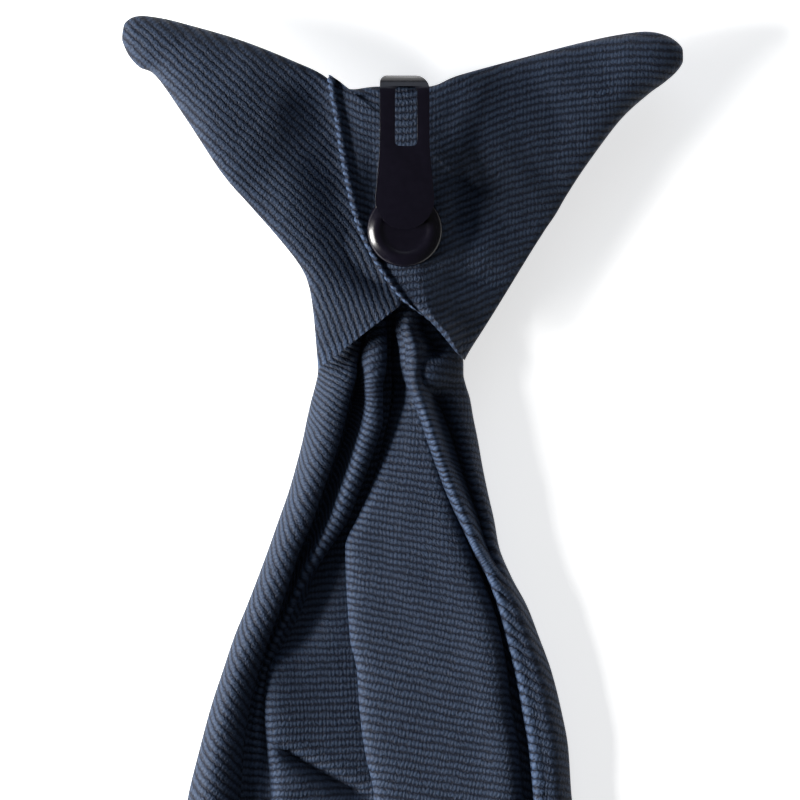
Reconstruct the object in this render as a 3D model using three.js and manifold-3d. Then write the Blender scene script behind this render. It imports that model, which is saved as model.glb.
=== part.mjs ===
// Ready-tied clip on tie, lying on its front with its back up.
// Millimetres. X runs across the tie, +Y points from the blade's point to the knot, and +Z points up
// from the surface that the tie lies on. The origin is under the middle of the tie's length.

import * as THREE from 'three';
import { mergeVertices } from 'three/addons/utils/BufferGeometryUtils.js';
import Module from 'manifold-3d';

// Overall sizes
const TIE_LENGTH = 500; // from the wing tips to the point of the blade
const WING_SPAN = 101; // from wing tip to wing tip
const KNOT_HEIGHT = 64; // from the wing tips down to the waist
const CLEARANCE = 0.3; // between pieces that rest on each other

// Knot front, a shell like a shallow boat that opens upwards and at the waist
const FRONT_TOP_WIDTH = 39.6;
const FRONT_WAIST_WIDTH = 25;
const FRONT_LENGTH = 49; // from the knot's top to the mouth at the waist
const FRONT_DEPTH = 8; // height of its rim over the surface that it lies on
const FRONT_WALL = 1.6;
const FRONT_MOUTH_HEIGHT = 2.5; // from the waist up to its mouth
const FRONT_FLATNESS = 3; // power of its rounded section, 2 for an ellipse
const FRONT_RIM_HEIGHT = 2.6; // extra height of the rim behind the hook
const FRONT_RISE_WIDTH = 17; // width of that higher stretch
const FRONT_RISE_SHARE = 0.6; // share of half that width over which it rises

// Wings and wraps, flat folded sleeves of interlined cloth
const WING_THICKNESS = 7;
const WRAP_THICKNESS = 3.8;
const WRAP_WALL = 1.3;
const WRAP_EDGE_WALL = 2; // at its folded edges
const WING_MIDDLE_HEIGHT = 10.2; // height of the middle of a wing
const WING_FLATNESS = 2.6; // power of a wing's section
const WRAP_FLATNESS = 4; // power of a wrap's section
const CROSSING_START_SHARE = 0.02; // share of a wrap's width, from its edge, where it begins to rise
const CROSSING_END_SHARE = 0.32; // and where it lies on the wrap below
const THIN_HALF_WIDTH = 0.2; // least half width of the hollow at a narrow end

// Blade
const BLADE_WIDTH = 88; // at the corners of the point
const POINT_LENGTH = 43; // from the corners to the point
const POINT_HALF_WIDTH = 2.6; // half of the blunt end of the point
const GATHER_WIDTH = 69.3; // where the gathers have spread out
const GATHER_LENGTH = 76.5; // from the waist to there
const GATHER_HEIGHT = 10.4; // of the highest fold at the waist
const BLADE_WALL = 1.2;
const BLADE_CURL_HEIGHT = 2.2; // rise of the front layer's edges inside the knot
const BLADE_HEIGHT = 3.7; // of the flat blade, both layers
const FOLD_ROUND_WIDTH = 1.5; // width of the rounded long edges
const FLAP_ROUND_SHARE = 0.6; // largest share of a narrow flap that its rounded edge takes
const GATHER_ROUND_SHARE = 0.1; // share of a gathered section that its rounded edge takes
const SEAM_GAP = 0.5; // between the flaps' edges along the back seam
const FLAP_OPENING_LENGTH = 72; // from the lower end of the seam to the corners
const HEM_WIDTH = 6; // turned in along the point

// Hook
const HOOK_RISE_HEIGHT = 1.6; // from the knot front's top up to the top of the bend
const HOOK_SIDE_OFFSET = 0.4; // from the tie's middle to the hook's
const HOOK_WIDTH = 8.7; // across its two legs at the bend
const HOOK_END_WIDTH = 10.6; // across the round end of the tongue
const HOOK_WALL = 1.2;
const HOOK_TONGUE_LENGTH = 27.6; // from the bend to the round end
const HOOK_INNER_LENGTH = 15; // from the bend down, inside the knot
const HOOK_GAP = 4.5; // for the collar, between cloth and tongue at the bend
const HOOK_STRAIGHT_LENGTH = 8; // length of the tongue that stays at that height
const HOOK_CORNER_RADIUS = 3; // outer radius of the bend's two corners
const SLOT_WIDTH = 4;
const SLOT_LENGTH = 12.6; // from the bend down the tongue
const SLOT_CORNER_RADIUS = 1; // radius of the slot's two lower corners

// Round pad that the end of the tongue closes on
const PAD_DIAMETER = 13.5;
const PAD_THICKNESS = 1.6;
const PAD_ROUND_RADIUS = 0.6;
const PAD_DISH_DEPTH = 0.3; // depth of its shallow dish

// Facets
const SLEEVE_SIDES = 16;
const BOAT_SIDES = 16;
const CURVE_STEPS = 2; // between the given points of a section or of a run of sections
const PAD_SIDES = 32;
const CUT_MARGIN = 1; // that cutting shapes reach beyond the hook
const MERGE_DISTANCE = 1e-4;

const CLOTH_COLOR = 0x2a3854;
const PLASTIC_COLOR = 0x0c0b12;

// Places across are shares of half the wing span, and places down are shares of the knot's height.
// edge is the lower, outer edge of a sleeve, and top is its upper edge or its folded inner edge.
// seat goes from the wing's own level and thickness, 0, to the knot's rim and the wrap's thickness, 1,
// thick is a share of that thickness, and lift raises the top edge over the wrap below, 1, or not, 0.
const SLEEVE_COLUMNS = ['edgeX', 'edgeY', 'topX', 'topY', 'thick', 'seat', 'lift'];

const LEFT_SLEEVE = [
  [-1, 0.075, -0.988, 0.018, 0.26, 0, 0],
  [-0.975, 0.112, -0.945, 0, 0.6, 0, 0],
  [-0.936, 0.145, -0.865, 0.005, 0.86, 0, 0],
  [-0.876, 0.172, -0.76, 0.025, 1, 0, 0],
  [-0.765, 0.297, -0.58, 0.067, 1.16, 0.4, 0],
  [-0.643, 0.443, -0.4, 0.123, 1.33, 1, 0],
  [-0.545, 0.532, -0.266, 0.176, 1, 1, 0],
  [-0.451, 0.616, -0.187, 0.263, 1, 1, 0],
  [-0.372, 0.695, -0.102, 0.459, 1, 1, 0],
  [-0.337, 0.751, -0.037, 0.613, 1, 1, 0],
  [-0.319, 0.829, 0.012, 0.725, 1, 1, 0],
  [-0.308, 0.924, 0.024, 0.773, 1, 1, 0],
  [-0.301, 0.994, 0.004, 0.807, 1, 1, 0],
];

const RIGHT_SLEEVE = [
  [1, 0.132, 0.997, 0.092, 0.26, 0, 0],
  [0.973, 0.16, 0.95, 0.058, 0.6, 0, 0],
  [0.929, 0.19, 0.88, 0.044, 0.86, 0, 0],
  [0.872, 0.223, 0.79, 0.05, 1, 0, 0],
  [0.775, 0.294, 0.647, 0.073, 1.16, 0.4, 0],
  [0.658, 0.417, 0.419, 0.12, 1.33, 1, 0.3],
  [0.587, 0.502, 0.2, 0.168, 1, 1, 0.9],
  [0.546, 0.558, 0.092, 0.2, 1, 1, 1],
  [0.512, 0.597, -0.092, 0.201, 1, 1, 1],
  [0.469, 0.65, -0.26, 0.17, 1, 1, 1],
  [0.419, 0.714, -0.237, 0.291, 1, 1, 1],
  [0.365, 0.784, -0.209, 0.431, 1, 1, 1],
  [0.319, 0.843, -0.162, 0.585, 1, 1, 1],
  [0.283, 0.888, -0.094, 0.695, 1, 1, 1],
  [0.255, 0.922, -0.002, 0.796, 1, 1, 1],
  [0.235, 0.948, 0.1, 0.86, 0.96, 1, 0.6],
  [0.222, 0.968, 0.148, 0.905, 0.87, 1, 0.2],
];

// Knot front: down is a share of its length, middle a share of half the wing span, width goes from the
// top width, 0, to the waist width, 1, and depth is a share of its own depth.
const FRONT_COLUMNS = ['down', 'middle', 'width', 'depth'];
const FRONT_ROWS = [
  [0, 0.005, 0.36, 0.07],
  [0.006, 0.005, 0.2, 0.42],
  [0.03, 0.005, 0.04, 0.78],
  [0.08, 0.005, -0.03, 0.95],
  [0.17, 0.003, -0.03, 1],
  [0.35, 0, 0.12, 1],
  [0.6, -0.012, 0.47, 1],
  [0.82, -0.03, 0.83, 1],
  [0.93, -0.04, 0.98, 1],
  [1, -0.043, 1, 1],
];

// Gathers of the blade, one row for each section. drop is a share of the gather length below the waist,
// left and right are shares of the gather width from the tie's middle, gap is the opening between the
// flaps, a share of the section, and front the height of the front layer, a share of the knot front's
// wall and clearance below it.
const SECTION_COLUMNS = ['drop', 'left', 'right', 'gap', 'front'];
const GATHER_SECTIONS = [
  [-0.31, -0.16, 0.105, 0.08, 1],
  [-0.17, -0.165, 0.11, 0.08, 1],
  [-0.1, -0.17, 0.11, 0.09, 1],
  [-0.064, -0.172, 0.108, 0.09, 1],
  [-0.028, -0.174, 0.108, 0.1, 1],
  [0.01, -0.214, 0.16, 0.1, 0.85],
  [0.11, -0.252, 0.186, 0.085, 0.2],
  [0.228, -0.283, 0.212, 0.06, 0],
  [0.346, -0.318, 0.236, 0.045, 0],
  [0.487, -0.378, 0.282, 0.035, 0],
  [0.628, -0.442, 0.357, 0.012, 0],
  [0.793, -0.5, 0.417, 0.009, 0],
  [1, -0.56, 0.44, 0.008, 0],
  [1.24, -0.6, 0.475, 0.007, 0],
];
// Places of the folds in the same sections, shares of the section's own width from its left edge.
const FOLDS = [
  'rollL', 'edgeL', 'grooveL', 'pleat', 'pleatEdge', 'seam',
  'panelL', 'panel', 'panelR', 'grooveR', 'edgeR', 'rollR',
];
const FOLD_PLACES = [
  [0.1, 0.19, 0.24, 0.32, 0.4, 0.5, 0.59, 0.67, 0.75, 0.81, 0.86, 0.93],
  [0.1, 0.19, 0.24, 0.32, 0.4, 0.5, 0.59, 0.67, 0.75, 0.81, 0.86, 0.93],
  [0.1, 0.18, 0.24, 0.32, 0.4, 0.5, 0.6, 0.68, 0.76, 0.82, 0.87, 0.94],
  [0.1, 0.18, 0.24, 0.32, 0.4, 0.5, 0.6, 0.685, 0.76, 0.815, 0.865, 0.935],
  [0.1, 0.185, 0.24, 0.32, 0.4, 0.5, 0.6, 0.67, 0.73, 0.78, 0.83, 0.92],
  [0.11, 0.2, 0.245, 0.33, 0.405, 0.5, 0.575, 0.635, 0.69, 0.73, 0.775, 0.885],
  [0.115, 0.2, 0.25, 0.35, 0.42, 0.5, 0.565, 0.635, 0.69, 0.725, 0.765, 0.87],
  [0.1, 0.18, 0.225, 0.305, 0.37, 0.425, 0.475, 0.63, 0.74, 0.78, 0.82, 0.91],
  [0.08, 0.14, 0.18, 0.235, 0.29, 0.345, 0.385, 0.61, 0.81, 0.855, 0.89, 0.945],
  [0.06, 0.105, 0.145, 0.19, 0.24, 0.31, 0.37, 0.6, 0.87, 0.905, 0.94, 0.97],
  [0.048, 0.082, 0.125, 0.2, 0.3, 0.385, 0.42, 0.62, 0.85, 0.88, 0.915, 0.957],
  [0.04, 0.07, 0.13, 0.18, 0.3, 0.43, 0.46, 0.64, 0.84, 0.87, 0.9, 0.95],
  [0.04, 0.08, 0.165, 0.235, 0.36, 0.49, 0.52, 0.68, 0.855, 0.88, 0.91, 0.95],
  [0.04, 0.085, 0.18, 0.25, 0.37, 0.5, 0.53, 0.68, 0.855, 0.88, 0.91, 0.95],
];
// Heights of the folds in the same sections, shares of the gather height.
const FOLD_HEIGHTS = [
  [0.62, 0.62, 0.56, 0.62, 0.6, 0.52, 0.6, 0.62, 0.62, 0.56, 0.62, 0.6],
  [0.63, 0.63, 0.56, 0.63, 0.6, 0.5, 0.6, 0.64, 0.62, 0.56, 0.62, 0.6],
  [0.64, 0.64, 0.55, 0.7, 0.7, 0.45, 0.78, 0.88, 0.8, 0.6, 0.66, 0.62],
  [0.66, 0.7, 0.52, 0.88, 0.88, 0.43, 0.85, 1, 0.92, 0.58, 0.78, 0.74],
  [0.84, 0.88, 0.48, 1, 0.95, 0.42, 0.88, 1.02, 0.92, 0.58, 0.9, 0.88],
  [0.94, 0.94, 0.44, 1, 0.92, 0.38, 0.85, 1, 0.9, 0.62, 0.95, 0.95],
  [0.98, 0.94, 0.38, 0.95, 0.85, 0.31, 0.75, 0.9, 0.8, 0.52, 0.98, 0.95],
  [0.95, 0.9, 0.34, 0.85, 0.7, 0.31, 0.6, 0.8, 0.7, 0.45, 0.92, 0.9],
  [0.88, 0.84, 0.33, 0.68, 0.55, 0.31, 0.56, 0.74, 0.6, 0.42, 0.84, 0.82],
  [0.8, 0.76, 0.32, 0.5, 0.42, 0.36, 0.5, 0.7, 0.56, 0.4, 0.74, 0.72],
  [0.72, 0.68, 0.31, 0.38, 0.5, 0.54, 0.56, 0.64, 0.52, 0.38, 0.66, 0.65],
  [0.65, 0.6, 0.31, 0.46, 0.55, 0.55, 0.57, 0.6, 0.5, 0.38, 0.6, 0.6],
  [0.58, 0.54, 0.31, 0.44, 0.5, 0.5, 0.52, 0.56, 0.48, 0.4, 0.56, 0.55],
  [0.45, 0.43, 0.32, 0.38, 0.41, 0.41, 0.42, 0.43, 0.4, 0.37, 0.44, 0.44],
];

// Flat blade below the gathers: run is a share of the way from the gathers to the corners of the point.
const FLAT_RUNS = [0.22, 0.5, 0.76];
// Rows across the opening of the flaps, and down the point, as shares of those lengths.
const OPENING_RUNS = [0, 0.33, 0.67, 1];
const POINT_RUNS = [0.3, 0.65, 1];

const wasm = await Module();
wasm.setup();

const KNOT_TOP = TIE_LENGTH / 2;
const WAIST = KNOT_TOP - KNOT_HEIGHT;
const FRONT_TOP = WAIST + FRONT_MOUTH_HEIGHT + FRONT_LENGTH;
const RIM_LEVEL = FRONT_DEPTH + CLEARANCE;
const CROSSING_RISE = WRAP_THICKNESS + CLEARANCE;
const CROSSING_TOP = RIM_LEVEL + CROSSING_RISE + WRAP_THICKNESS;

function named(columns, row) {
  return Object.fromEntries(columns.map((column, index) => [column, row[index]]));
}

// Geometry from points and triangles, turned so that its faces point out.
function closedGeometry(points, triangles) {
  let volume = 0;
  for (let i = 0; i < triangles.length; i += 3) {
    const [a, b, c] = [points[triangles[i]], points[triangles[i + 1]], points[triangles[i + 2]]];
    volume += a.dot(b.clone().cross(c));
  }
  const faces = [];
  for (let i = 0; i < triangles.length; i += 3) {
    const [a, b, c] = triangles.slice(i, i + 3);
    faces.push(...(volume > 0 ? [a, b, c] : [a, c, b]));
  }
  const geometry = new THREE.BufferGeometry();
  const coordinates = points.flatMap((point) => point.toArray());
  geometry.setAttribute('position', new THREE.Float32BufferAttribute(coordinates, 3));
  geometry.setIndex(faces);
  geometry.computeVertexNormals();
  return geometry;
}

// Solid through rings of points, closed by a fan at each end.
function loft(rings) {
  const points = [];
  const triangles = [];
  const sides = rings[0].length;
  rings.forEach((ring) => points.push(...ring));
  for (let row = 0; row + 1 < rings.length; row += 1) {
    for (let side = 0; side < sides; side += 1) {
      const next = (side + 1) % sides;
      const [a, b] = [row * sides + side, row * sides + next];
      triangles.push(a, b, b + sides, a, b + sides, a + sides);
    }
  }
  const ends = [{ row: 0, turned: true }, { row: rings.length - 1, turned: false }];
  ends.forEach(({ row, turned }) => {
    const centre = new THREE.Vector3();
    rings[row].forEach((point) => centre.addScaledVector(point, 1 / sides));
    points.push(centre);
    const hub = points.length - 1;
    for (let side = 0; side < sides; side += 1) {
      const [a, b] = [row * sides + side, row * sides + ((side + 1) % sides)];
      triangles.push(...(turned ? [hub, b, a] : [hub, a, b]));
    }
  });
  return closedGeometry(points, triangles);
}

// Wall of even thickness on both sides of a grid of points.
function sheet(grid, wall) {
  const [rows, columns] = [grid.length, grid[0].length];
  const at = (row, column) => grid[THREE.MathUtils.clamp(row, 0, rows - 1)][
    THREE.MathUtils.clamp(column, 0, columns - 1)];
  const normalAt = (row, column) => {
    const along = at(row + 1, column).clone().sub(at(row - 1, column));
    const across = at(row, column + 1).clone().sub(at(row, column - 1));
    return along.cross(across).normalize();
  };
  const points = [];
  [wall / 2, -wall / 2].forEach((offset) => {
    for (let row = 0; row < rows; row += 1) {
      for (let column = 0; column < columns; column += 1) {
        points.push(at(row, column).clone().addScaledVector(normalAt(row, column), offset));
      }
    }
  });
  const back = rows * columns;
  const triangles = [];
  for (let row = 0; row + 1 < rows; row += 1) {
    for (let column = 0; column + 1 < columns; column += 1) {
      const a = row * columns + column;
      const [b, c, d] = [a + 1, a + 1 + columns, a + columns];
      triangles.push(a, b, c, a, c, d, back + a, back + c, back + b, back + a, back + d, back + c);
    }
  }
  const rim = [];
  for (let column = 0; column < columns; column += 1) rim.push(column);
  for (let row = 1; row < rows; row += 1) rim.push(row * columns + columns - 1);
  for (let column = columns - 2; column >= 0; column -= 1) rim.push((rows - 1) * columns + column);
  for (let row = rows - 2; row > 0; row -= 1) rim.push(row * columns);
  rim.forEach((a, index) => {
    const b = rim[(index + 1) % rim.length];
    triangles.push(a, back + a, back + b, a, back + b, b);
  });
  return closedGeometry(points, triangles);
}

function toManifold(geometry) {
  const plain = geometry.clone();
  plain.deleteAttribute('normal');
  plain.deleteAttribute('uv');
  const merged = mergeVertices(plain, MERGE_DISTANCE);
  return new wasm.Manifold(new wasm.Mesh({
    numProp: 3,
    vertProperties: new Float32Array(merged.attributes.position.array),
    triVerts: new Uint32Array(merged.index.array),
  }));
}

function toGeometry(manifold) {
  const mesh = manifold.getMesh();
  const geometry = new THREE.BufferGeometry();
  geometry.setAttribute('position', new THREE.Float32BufferAttribute(mesh.vertProperties, 3));
  geometry.setIndex(Array.from(mesh.triVerts));
  geometry.computeVertexNormals();
  return geometry;
}

// Rows of numbers joined by smooth curves, with CURVE_STEPS steps between neighbours.
function smoothRows(rows) {
  const at = (index) => rows[THREE.MathUtils.clamp(index, 0, rows.length - 1)];
  const result = [];
  for (let index = 0; index + 1 < rows.length; index += 1) {
    for (let step = 0; step < CURVE_STEPS; step += 1) {
      const t = step / CURVE_STEPS;
      result.push(at(index).map((value, column) => {
        const [before, next, after] = [-1, 1, 2].map((shift) => at(index + shift)[column]);
        const slope = (next - before) / 2;
        const nextSlope = (after - value) / 2;
        return (2 * t ** 3 - 3 * t ** 2 + 1) * value + (t ** 3 - 2 * t ** 2 + t) * slope
          + (3 * t ** 2 - 2 * t ** 3) * next + (t ** 3 - t ** 2) * nextSlope;
      }));
    }
  }
  result.push(rows[rows.length - 1]);
  return result;
}

// Sine or cosine changed so that a circle becomes a rounded section with flat sides.
function flattened(value, flatness) {
  return Math.sign(value) * Math.abs(value) ** (2 / flatness);
}

// Ring of a flat sleeve between its outer edge and its top edge, or of the hollow inside it.
function sleeveRing(row, hollow) {
  const { edgeX, edgeY, topX, topY, thick, seat, lift } = named(SLEEVE_COLUMNS, row);
  const [wall, edgeWall] = hollow ? [WRAP_WALL, WRAP_EDGE_WALL] : [0, 0];
  const half = WING_SPAN / 2;
  const edge = new THREE.Vector2(edgeX * half, KNOT_TOP - edgeY * KNOT_HEIGHT);
  const top = new THREE.Vector2(topX * half, KNOT_TOP - topY * KNOT_HEIGHT);
  const overKnot = THREE.MathUtils.clamp(seat, 0, 1);
  const thickness = thick * THREE.MathUtils.lerp(WING_THICKNESS, WRAP_THICKNESS, overKnot);
  const halfThickness = thickness / 2 - wall;
  const level = THREE.MathUtils.lerp(WING_MIDDLE_HEIGHT, RIM_LEVEL + thickness / 2, overKnot);
  const middle = edge.clone().add(top).multiplyScalar(0.5);
  const reach = top.clone().sub(edge).multiplyScalar(0.5);
  const fullReach = reach.length();
  reach.setLength(Math.max(fullReach - edgeWall, THIN_HALF_WIDTH));
  const inwards = reach.length() / fullReach;
  const flatness = THREE.MathUtils.lerp(WING_FLATNESS, WRAP_FLATNESS, overKnot);
  const ring = [];
  for (let side = 0; side < SLEEVE_SIDES; side += 1) {
    const angle = (2 * Math.PI * side) / SLEEVE_SIDES;
    const across = flattened(Math.cos(angle), flatness);
    const up = flattened(Math.sin(angle), flatness);
    const place = (across * inwards + 1) / 2;
    const onto = THREE.MathUtils.smoothstep(place, CROSSING_START_SHARE, CROSSING_END_SHARE);
    const rise = lift * CROSSING_RISE * onto;
    ring.push(new THREE.Vector3(
      middle.x + across * reach.x,
      middle.y + across * reach.y,
      level + rise + up * halfThickness,
    ));
  }
  return ring;
}

// Hollow sleeve, closed at the wing tip and open at its lower end.
function sleeveGeometry(table) {
  const rows = smoothRows(table);
  const outer = rows.map((row) => sleeveRing(row, false));
  const inner = rows.slice(CURVE_STEPS).map((row) => sleeveRing(row, true));
  const last = inner[inner.length - 1];
  const beforeLast = inner[inner.length - 2];
  inner.push(last.map((point, index) => point.clone().multiplyScalar(2).sub(beforeLast[index])));
  return toGeometry(toManifold(loft(outer)).subtract(toManifold(loft(inner))));
}

// Knot front: half of a rounded section at each row, hanging from its rim.
function frontGeometry() {
  const half = WING_SPAN / 2;
  const grid = smoothRows(FRONT_ROWS).map((row) => {
    const { down, middle, width, depth } = named(FRONT_COLUMNS, row);
    const halfWidth = (THREE.MathUtils.lerp(FRONT_TOP_WIDTH, FRONT_WAIST_WIDTH, width) - FRONT_WALL) / 2;
    const rows = [];
    for (let side = 0; side <= BOAT_SIDES; side += 1) {
      const angle = Math.PI * (1 + side / BOAT_SIDES);
      const x = middle * half + flattened(Math.cos(angle), FRONT_FLATNESS) * halfWidth;
      const hang = flattened(Math.sin(angle), FRONT_FLATNESS) * Math.min(depth, 1);
      const near = Math.max(0, 1 - Math.abs(x - HOOK_SIDE_OFFSET) / (FRONT_RISE_WIDTH / 2));
      const rise = (1 - depth) * FRONT_RIM_HEIGHT * THREE.MathUtils.smoothstep(near, 0, FRONT_RISE_SHARE);
      const z = FRONT_DEPTH + hang * (FRONT_DEPTH - FRONT_WALL / 2) + rise;
      rows.push(new THREE.Vector3(x, FRONT_TOP - down * FRONT_LENGTH, z));
    }
    return rows;
  });
  return sheet(grid, FRONT_WALL);
}

// Points of one section of the blade, from the left flap's edge round the front to the right flap's.
function bladeSection({ y, left, right, front, curl, leftFlap, rightFlap, round }) {
  const low = front + BLADE_WALL / 2;
  const points = leftFlap.map(({ x, z }) => new THREE.Vector3(x, y, z));
  points.push(new THREE.Vector3(left, y, (low + curl + points[points.length - 1].z) / 2));
  for (let step = 0; step <= 4; step += 1) {
    const across = THREE.MathUtils.lerp(left + round, right - round, step / 4);
    points.push(new THREE.Vector3(across, y, low + curl * Math.abs(step / 2 - 1) ** 3));
  }
  points.push(new THREE.Vector3(right, y, (low + curl + rightFlap[0].z) / 2));
  points.push(...rightFlap.map(({ x, z }) => new THREE.Vector3(x, y, z)));
  const section = new THREE.CatmullRomCurve3(points, false, 'centripetal')
    .getPoints((points.length - 1) * CURVE_STEPS);
  section.forEach((point) => point.setZ(Math.max(point.z, low)));
  return section;
}

// A gathered section, from one row each of sizes, places and heights.
function gatherSection(row, shares, heights) {
  const { drop, left, right, gap, front } = named(SECTION_COLUMNS, row);
  const [from, to] = [left * GATHER_WIDTH + BLADE_WALL / 2, right * GATHER_WIDTH - BLADE_WALL / 2];
  const folds = shares.map((share, index) => ({
    x: THREE.MathUtils.lerp(from, to, share),
    z: heights[index] * GATHER_HEIGHT,
  }));
  const seam = FOLDS.indexOf('seam');
  const opening = (gap * (to - from)) / 2;
  const flapEdge = (shift) => ({ x: folds[seam].x + shift, z: folds[seam].z });
  return bladeSection({
    y: WAIST - drop * GATHER_LENGTH,
    left: from,
    right: to,
    front: front * (FRONT_WALL + CLEARANCE),
    curl: front * BLADE_CURL_HEIGHT,
    leftFlap: [...folds.slice(0, seam), flapEdge(-opening)].reverse(),
    rightFlap: [flapEdge(opening), ...folds.slice(seam + 1)].reverse(),
    round: GATHER_ROUND_SHARE * (to - from),
  });
}

// A flat section whose flaps reach inwards from the long edges.
function flatSection({ y, middle, halfWidth, flap }) {
  const half = halfWidth - BLADE_WALL / 2;
  const level = BLADE_HEIGHT - BLADE_WALL / 2;
  const reach = Math.min(flap, halfWidth - SEAM_GAP / 2) - BLADE_WALL / 2;
  const start = Math.min(FOLD_ROUND_WIDTH, reach * FLAP_ROUND_SHARE);
  const places = (count) => Array.from({ length: count }, (_, index) => (
    THREE.MathUtils.lerp(start, reach, index / (count - 1))));
  const seam = FOLDS.indexOf('seam');
  return bladeSection({
    y,
    left: middle - half,
    right: middle + half,
    front: 0,
    curl: 0,
    leftFlap: places(seam + 1).reverse().map((place) => ({ x: middle - half + place, z: level })),
    rightFlap: places(FOLDS.length - seam).map((place) => ({ x: middle + half - place, z: level })),
    round: Math.min(FOLD_ROUND_WIDTH, half / 2),
  });
}

function bladeGeometry() {
  const sections = smoothRows(GATHER_SECTIONS);
  const places = smoothRows(FOLD_PLACES);
  const heights = smoothRows(FOLD_HEIGHTS);
  const grid = sections.map((row, index) => gatherSection(row, places[index], heights[index]));
  const [lastDrop, lastLeft, lastRight] = sections[sections.length - 1];
  const gatherEnd = WAIST - lastDrop * GATHER_LENGTH;
  const corners = -TIE_LENGTH / 2 + POINT_LENGTH;
  const startWidth = (lastRight - lastLeft) * GATHER_WIDTH;
  const startMiddle = ((lastRight + lastLeft) / 2) * GATHER_WIDTH;
  const flatRow = (y, flap) => {
    const run = (gatherEnd - y) / (gatherEnd - corners);
    return flatSection({
      y,
      middle: startMiddle * (1 - run),
      halfWidth: THREE.MathUtils.lerp(startWidth, BLADE_WIDTH, run) / 2,
      flap,
    });
  };
  const seamEnd = corners + FLAP_OPENING_LENGTH;
  FLAT_RUNS.forEach((run) => {
    grid.push(flatRow(THREE.MathUtils.lerp(gatherEnd, seamEnd, run), BLADE_WIDTH));
  });
  OPENING_RUNS.forEach((run) => {
    grid.push(flatRow(
      THREE.MathUtils.lerp(seamEnd, corners, run),
      THREE.MathUtils.lerp(BLADE_WIDTH / 2, HEM_WIDTH, run),
    ));
  });
  const slant = Math.atan2(BLADE_WIDTH / 2 - POINT_HALF_WIDTH, POINT_LENGTH);
  const pointRun = POINT_LENGTH - (BLADE_WALL / 2) * Math.sin(slant);
  POINT_RUNS.forEach((run) => {
    grid.push(flatSection({
      y: corners - run * pointRun,
      middle: 0,
      halfWidth: THREE.MathUtils.lerp(BLADE_WIDTH / 2, POINT_HALF_WIDTH, run),
      flap: HEM_WIDTH,
    }));
  });
  return sheet(grid, BLADE_WALL);
}

// Side view of the hook: Z up, and distance down from the top of the bend.
function hookProfile() {
  const innerTop = RIM_LEVEL + CROSSING_RISE - CLEARANCE;
  const low = innerTop - HOOK_WALL;
  const tongueLow = CROSSING_TOP + HOOK_GAP;
  const high = tongueLow + HOOK_WALL;
  const endLow = CROSSING_TOP + CLEARANCE + PAD_THICKNESS + CLEARANCE;
  const corner = HOOK_CORNER_RADIUS;
  const inside = HOOK_CORNER_RADIUS - HOOK_WALL;
  const shape = new THREE.Shape();
  shape.moveTo(HOOK_INNER_LENGTH, low);
  shape.lineTo(HOOK_INNER_LENGTH, innerTop);
  shape.lineTo(HOOK_WALL + inside, innerTop);
  shape.absarc(HOOK_WALL + inside, innerTop + inside, inside, -Math.PI / 2, -Math.PI, true);
  shape.lineTo(HOOK_WALL, tongueLow - inside);
  shape.absarc(HOOK_WALL + inside, tongueLow - inside, inside, Math.PI, Math.PI / 2, true);
  shape.lineTo(HOOK_STRAIGHT_LENGTH, tongueLow);
  shape.lineTo(HOOK_TONGUE_LENGTH - PAD_DIAMETER / 2, endLow);
  shape.lineTo(HOOK_TONGUE_LENGTH, endLow);
  shape.lineTo(HOOK_TONGUE_LENGTH, endLow + HOOK_WALL);
  shape.lineTo(HOOK_TONGUE_LENGTH - PAD_DIAMETER / 2, endLow + HOOK_WALL);
  shape.lineTo(HOOK_STRAIGHT_LENGTH, high);
  shape.lineTo(corner, high);
  shape.absarc(corner, high - corner, corner, Math.PI / 2, Math.PI, false);
  shape.lineTo(0, low + corner);
  shape.absarc(corner, low + corner, corner, Math.PI, 1.5 * Math.PI, false);
  return shape;
}

// Outline of the hook from above, with a round end and, on the tongue, the slot between its legs.
function hookOutline() {
  const [top, end] = [HOOK_WIDTH / 2, HOOK_END_WIDTH / 2];
  const shape = new THREE.Shape();
  shape.moveTo(-top, CUT_MARGIN);
  shape.lineTo(-top, -SLOT_LENGTH);
  shape.lineTo(-end, -HOOK_TONGUE_LENGTH + end);
  shape.absarc(0, -HOOK_TONGUE_LENGTH + end, end, Math.PI, 2 * Math.PI, false);
  shape.lineTo(top, -SLOT_LENGTH);
  shape.lineTo(top, CUT_MARGIN);
  return shape;
}

function slotOutline() {
  const [half, round] = [SLOT_WIDTH / 2, SLOT_CORNER_RADIUS];
  const shape = new THREE.Shape();
  shape.moveTo(-half, CUT_MARGIN);
  shape.lineTo(-half, -SLOT_LENGTH + round);
  shape.absarc(-half + round, -SLOT_LENGTH + round, round, Math.PI, 1.5 * Math.PI, false);
  shape.absarc(half - round, -SLOT_LENGTH + round, round, 1.5 * Math.PI, 2 * Math.PI, false);
  shape.lineTo(half, CUT_MARGIN);
  return shape;
}

function extruded(shape, depth, segments) {
  return new THREE.ExtrudeGeometry(shape, { depth, bevelEnabled: false, curveSegments: segments });
}

function hookGeometry() {
  const reach = CROSSING_TOP + HOOK_GAP + HOOK_WALL + CUT_MARGIN;
  const width = HOOK_END_WIDTH + 2 * CUT_MARGIN;
  const side = extruded(hookProfile(), width, 6);
  side.translate(0, 0, -width / 2);
  side.applyMatrix4(new THREE.Matrix4().makeBasis(
    new THREE.Vector3(0, -1, 0), new THREE.Vector3(0, 0, 1), new THREE.Vector3(-1, 0, 0)));
  const plan = extruded(hookOutline(), reach, 10);
  const slotLow = RIM_LEVEL + CROSSING_RISE;
  const slot = extruded(slotOutline(), reach, 4);
  slot.translate(0, 0, slotLow);
  return toGeometry(toManifold(side).intersect(toManifold(plan)).subtract(toManifold(slot)));
}

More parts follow.
